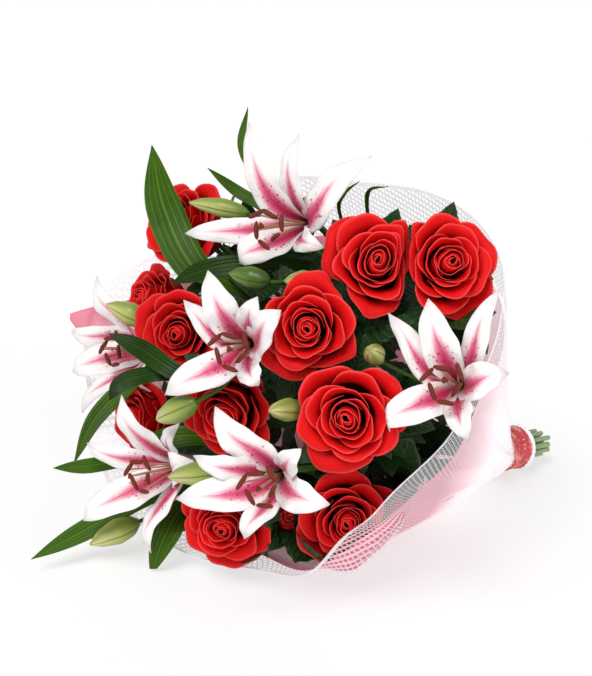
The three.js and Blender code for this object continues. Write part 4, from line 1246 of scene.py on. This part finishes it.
WALL_STEP, WALL_LENGTH, WALL_TURN = 5, 420, 15  # the wall is measured at these steps and degrees


def off_axis(points):
    """How far points lie along the bunch's axis from the tie, and their way out from the axis."""
    away = points - TIE
    along = away @ BUNCH_AXIS
    return along, away - np.multiply.outer(along, BUNCH_AXIS)


def wall_table():
    """The wrap's distance from the bunch's axis: a row for each turn, a column for each step."""
    steps = np.arange(0, WALL_LENGTH, WALL_STEP) * MM
    v = np.linspace(0, 1, 120)
    rows = []
    for turn in range(0, 360, WALL_TURN):
        along, out = off_axis(wrap_surface(np.full(len(v), float(turn)), v, 1.0))
        order = np.argsort(along)
        rows.append(np.interp(steps, along[order], np.linalg.norm(out, axis=1)[order], right=1.0))
    return np.array(rows)


WALL = wall_table()


def inside_wrap(points):
    """Draws points in until they are clear of the sheets."""
    along, side = off_axis(points)
    turn = np.degrees(np.arctan2(side @ across(BUNCH_AXIS, 90.0), side @ RIGHT)) % 360
    row = np.rint(turn / WALL_TURN).astype(int) % len(WALL)
    column = np.clip(along / (WALL_STEP * MM), 0, WALL.shape[1] - 1).astype(int)
    room = np.maximum(WALL[row, column] - WALL_CLEAR * MM, 4 * MM)
    share = np.minimum(1, room / np.maximum(np.linalg.norm(side, axis=1), 1e-9))
    return TIE + np.outer(along, BUNCH_AXIS) + side * share[:, None]


def leaflet(name, base, along, face, length):
    side = unit(np.cross(along, face))
    rows = LEAFLET["rows"]

    def rule(u, v):
        x = 2 * u - 1
        width = LEAFLET["half"] * np.sin(math.pi * np.minimum(v, 0.999) ** 0.8) ** 0.8 * (1 - 0.25 * v)
        width = width * (1 + LEAFLET["tooth"] * np.cos(math.pi * np.rint(v * rows)))
        lift = LEAFLET["fold"] * np.abs(x) * width - LEAFLET["droop"] * v**2
        local = np.outer(v, along) + np.outer(x * width, side) + np.outer(lift, face)
        return inside_wrap(off_roses(base + local * length, 1.0))

    return shaped(name, LEAFLET["columns"], rows, rule)


def stalked_leaf(name, base, along, face, size, rng):
    """A stalk and its three leaflets."""
    length = size * rng.uniform(0.45, 0.6)
    side = unit(np.cross(along, face))
    tip = base + along * length
    line = bezier([base, base + along * length * 0.5 + face * 0.06 * size, tip], np.linspace(0, 1, 5))[0]
    stalk = tube(f"{name}_stalk", inside_wrap(off_roses(line, 2.0)), LEAF_STALK_RADIUS * MM, 6)
    coloured(STEM_GREEN, stalk)
    blades = []
    for turn, share in LEAFLETS:
        way = math.radians(turn + rng.uniform(-8, 8))
        towards = along * math.cos(way) + side * math.sin(way)
        start = tip if turn == 0 else base + along * length * 0.72
        tilted = unit(face + 0.25 * side * rng.uniform(-1, 1) + 0.25 * along * rng.uniform(-1, 1))
        tilted = unit(tilted - towards * (tilted @ towards))
        blades.append(leaflet(f"{name}_{turn}", start, towards, tilted, size * share))
    return stalk, blades


def rose_leaf_finish():
    leaf = Finish("rose_leaf_green", Roughness=0.42, Specular_IOR_Level=0.35)
    u, v = leaf.uv()
    side = leaf.from_midrib(u)
    colour = leaf.mix(leaf.noise(60.0, 4.0), (0.004, 0.018, 0.004), (0.018, 0.065, 0.012))
    slanted = leaf.math("MULTIPLY_ADD", side, -0.3, v)
    ribs = leaf.math("SINE", leaf.math("MULTIPLY", slanted, 55.0))
    midrib = leaf.ramp(side, (0.0, 1.0), (0.08, 0.0))
    rib = leaf.math("MAXIMUM", leaf.ramp(ribs, (0.85, 0.0), (1.0, 1.0)), midrib)
    leaf.shows("Base Color", leaf.laid_over(colour, rib, 0.4, (0.06, 0.15, 0.035)))
    leaf.bump(ribs, 0.0004, 0.5)
    return leaf.material


ROSE_LEAF = rose_leaf_finish()
for number, rose in enumerate(ROSES):
    rng = random.Random(500 + number)
    faces = heading(*rose["faces"])
    foot = rose_middle(rose) - faces * (rose["radius"] * ROSE_BACK + HIP["length"]) * MM
    line = stem_line(rose["slot"], foot, faces)
    stalks, blades = [], []
    for k, place_on in enumerate(LEAF_PLACES):
        start, along = bezier(line, place_on)
        outward = unit(off_axis(start)[1])
        swing = math.radians(GOLDEN_TURN * k + rng.uniform(-25, 25) + 40 * number)
        way = outward * math.cos(swing) + np.cross(along, outward) * math.sin(swing)
        way = unit(way * 0.85 + along * 0.5 + outward * 0.3)
        face = unit(along * place_on + outward * (1.1 - place_on) + 0.2 * UP)
        face = unit(face - way * (face @ way))
        stalk, leaflets = stalked_leaf(f"leaf_{k}", start, way, face, rng.uniform(34, 42) * MM, rng)
        stalks.append(stalk)
        blades += leaflets
    for k, (_, place_on, reached) in enumerate(gap for gap in GAP_LEAVES if gap[0] == number + 1):
        start, _ = bezier(line, place_on)
        away = spot(*reached) - start
        way = unit(away)
        face = unit(LEAF_FACES - way * (LEAF_FACES @ way))
        size = float(np.linalg.norm(away)) / GAP_REACH
        stalk, leaflets = stalked_leaf(f"gap_leaf_{k}", start, way, face, size, rng)
        stalks.append(stalk)
        blades += leaflets
    leaves = joined(blades, "leaflets")
    coloured(ROSE_LEAF, leaves)
    walled(leaves, LEAFLET_THICKNESS)
    seat(rounded([leaves] + stalks, f"rose_leaves_{number + 1}"), slot="rose_greens")

# Tie
# Seven turns of natural string hold the stems under the wrap, and a red satin ribbon is wound
# tight over the gathered sheets.
STRING = dict(radius=0.55, turns=7, out=13.4, points=36)  # how far out it winds, and points in a turn
RIBBON = dict(radius=17.3, half=10)
RIBBON_THICKNESS = 0.5 * MM


def round_tie(angle, radius, along):
    """Points round the middle of the ribbon, at a radius and a length along it in millimetres."""
    right, up = np.cos(angle) * radius, np.sin(angle) * radius
    out = np.outer(right, RIGHT) + np.outer(up, across(TIE_AXIS, 90.0))
    return RIBBON_MIDDLE + (out + np.outer(along, TIE_AXIS)) * MM


def string_piece():
    part = np.linspace(0, 1, STRING["points"] * STRING["turns"])
    along = (2 * part - 1) * STRING["turns"] * STRING["radius"]
    points = round_tie(part * STRING["turns"] * math.tau, STRING["out"], along)
    return tube("binding_twine", points, STRING["radius"] * MM, 8)


def ribbon_rule(u, v):
    angle = u * math.tau
    y = 2 * v - 1
    ridges = 0.55 * np.sin(11 * y + 2.2 * np.sin(angle) + 0.8)
    ridges = ridges + 0.35 * np.sin(19 * y - 1.7 * np.cos(2 * angle))
    crimp = 0.25 * np.sin(26 * angle + 4 * y)
    radius = RIBBON["radius"] + 1.2 * y**2 + ridges * (1 - 0.4 * y**2) + crimp
    half = RIBBON["half"] + 1.1 * np.sin(2 * angle + 0.5) + 0.5 * np.sin(5 * angle)
    return round_tie(angle, radius, y * half)


def satin_finish():
    satin = Finish("red_satin", Roughness=0.3, Sheen_Weight=0.4, Sheen_Roughness=0.35, Anisotropic=0.5)
    u, v = satin.uv()
    colour = satin.mix(satin.noise(80.0), (0.48, 0.02, 0.03), (0.68, 0.07, 0.07))
    # Pale streaks along the folds are painted highlights on the satin.
    folds = satin.noise(1.0, 2.0, satin.vector_math("MULTIPLY", satin.own(), (40, 160, 90)))
    shine = satin.ramp(folds, (0.5, 0.0), (0.68, 0.8))
    satin.shows("Base Color", satin.mix(shine, colour, (0.92, 0.42, 0.36)))
    satin.bump(veins(satin, v, u, 90.0, 0.2), 0.0001, 0.4)
    return satin.material


twine = string_piece()
coloured(plain_finish("natural_twine", (0.42, 0.3, 0.16), (0.66, 0.52, 0.32), 0.85, 900.0, 0.0003), twine)
pick(twine)
bpy.ops.object.shade_smooth()
seat(twine, "stem_string", slot="binding_string")

ribbon = welded(shaped("satin_ribbon", 180, 26, ribbon_rule), 1e-5)
coloured(satin_finish(), ribbon)
walled(ribbon, RIBBON_THICKNESS)
seat(ribbon, "ribbon", slot="ribbon")

# Floor, light and camera
# A pale floor and wide soft lights, seen from the photograph's own angle.
AZIMUTH, ELEVATION = 50, 22
EYE_DISTANCE = 1.5
TIE_RIGHT, TIE_BELOW = 0.1897, 0.0948  # where the tie stands in the picture, from its middle
LENS = 91.8
SENSOR = 36
FLOOR_SIZE = 40
SUNS = (("key", 20, 55, 30, 2.3), ("fill", 85, 20, 60, 1.0))  # azimuth, elevation, spread, strength
WORLD_LIGHT, WORLD_SEEN = 0.38, 1.0  # strengths of the white world, as light and as backdrop

bpy.ops.mesh.primitive_plane_add(size=FLOOR_SIZE, location=(0, 0, cad_box[0][2]))
floor = bpy.context.object
floor.name = "floor"
floor.data.transform(floor.matrix_world)
floor.matrix_world.identity()
pale = Finish("pale_floor", Roughness=0.9, Base_Color=(0.38, 0.38, 0.38, 1),
              Emission_Color=(1, 1, 1, 1), Emission_Strength=0.59)
coloured(pale.material, floor)


def aimed(name, data, place, at):
    """Stands a camera or a light at a place, aimed at another."""
    z = unit(place - at)
    x = unit(np.cross(UP, z))
    axes = (x, np.cross(z, x), z)
    stood = bpy.data.objects.new(name, data)
    bpy.context.collection.objects.link(stood)
    stood.matrix_world = [[*axis, 0] for axis in axes] + [[*place, 1]]
    return stood


towards = heading(AZIMUTH, ELEVATION)
side_on = np.array([math.cos(math.radians(AZIMUTH)), math.sin(math.radians(AZIMUTH)), 0.0])
target = TIE - side_on * TIE_RIGHT + np.cross(towards, side_on) * TIE_BELOW
camera_data = bpy.data.cameras.new("camera")
camera_data.lens = LENS
camera_data.sensor_width = SENSOR
bpy.context.scene.camera = aimed("camera", camera_data, target + towards * EYE_DISTANCE, target)

for name, azimuth, elevation, spread, strength in SUNS:
    light_data = bpy.data.lights.new(name, "SUN")
    light_data.angle = math.radians(spread)
    light_data.energy = strength
    aimed(name, light_data, TIE + heading(azimuth, elevation), TIE)

bpy.context.scene.view_settings.view_transform = "Standard"
world = bpy.data.worlds.new("studio")
bpy.context.scene.world = world
world.use_nodes = True
backdrop = world.node_tree.nodes["Background"]
feed(world.node_tree, (1, 1, 1, 1), backdrop.inputs["Color"])
seen = world.node_tree.nodes.new("ShaderNodeLightPath").outputs["Is Camera Ray"]
strength = math_node(world.node_tree, "MULTIPLY_ADD", seen, WORLD_SEEN - WORLD_LIGHT, WORLD_LIGHT)
feed(world.node_tree, strength, backdrop.inputs["Strength"])
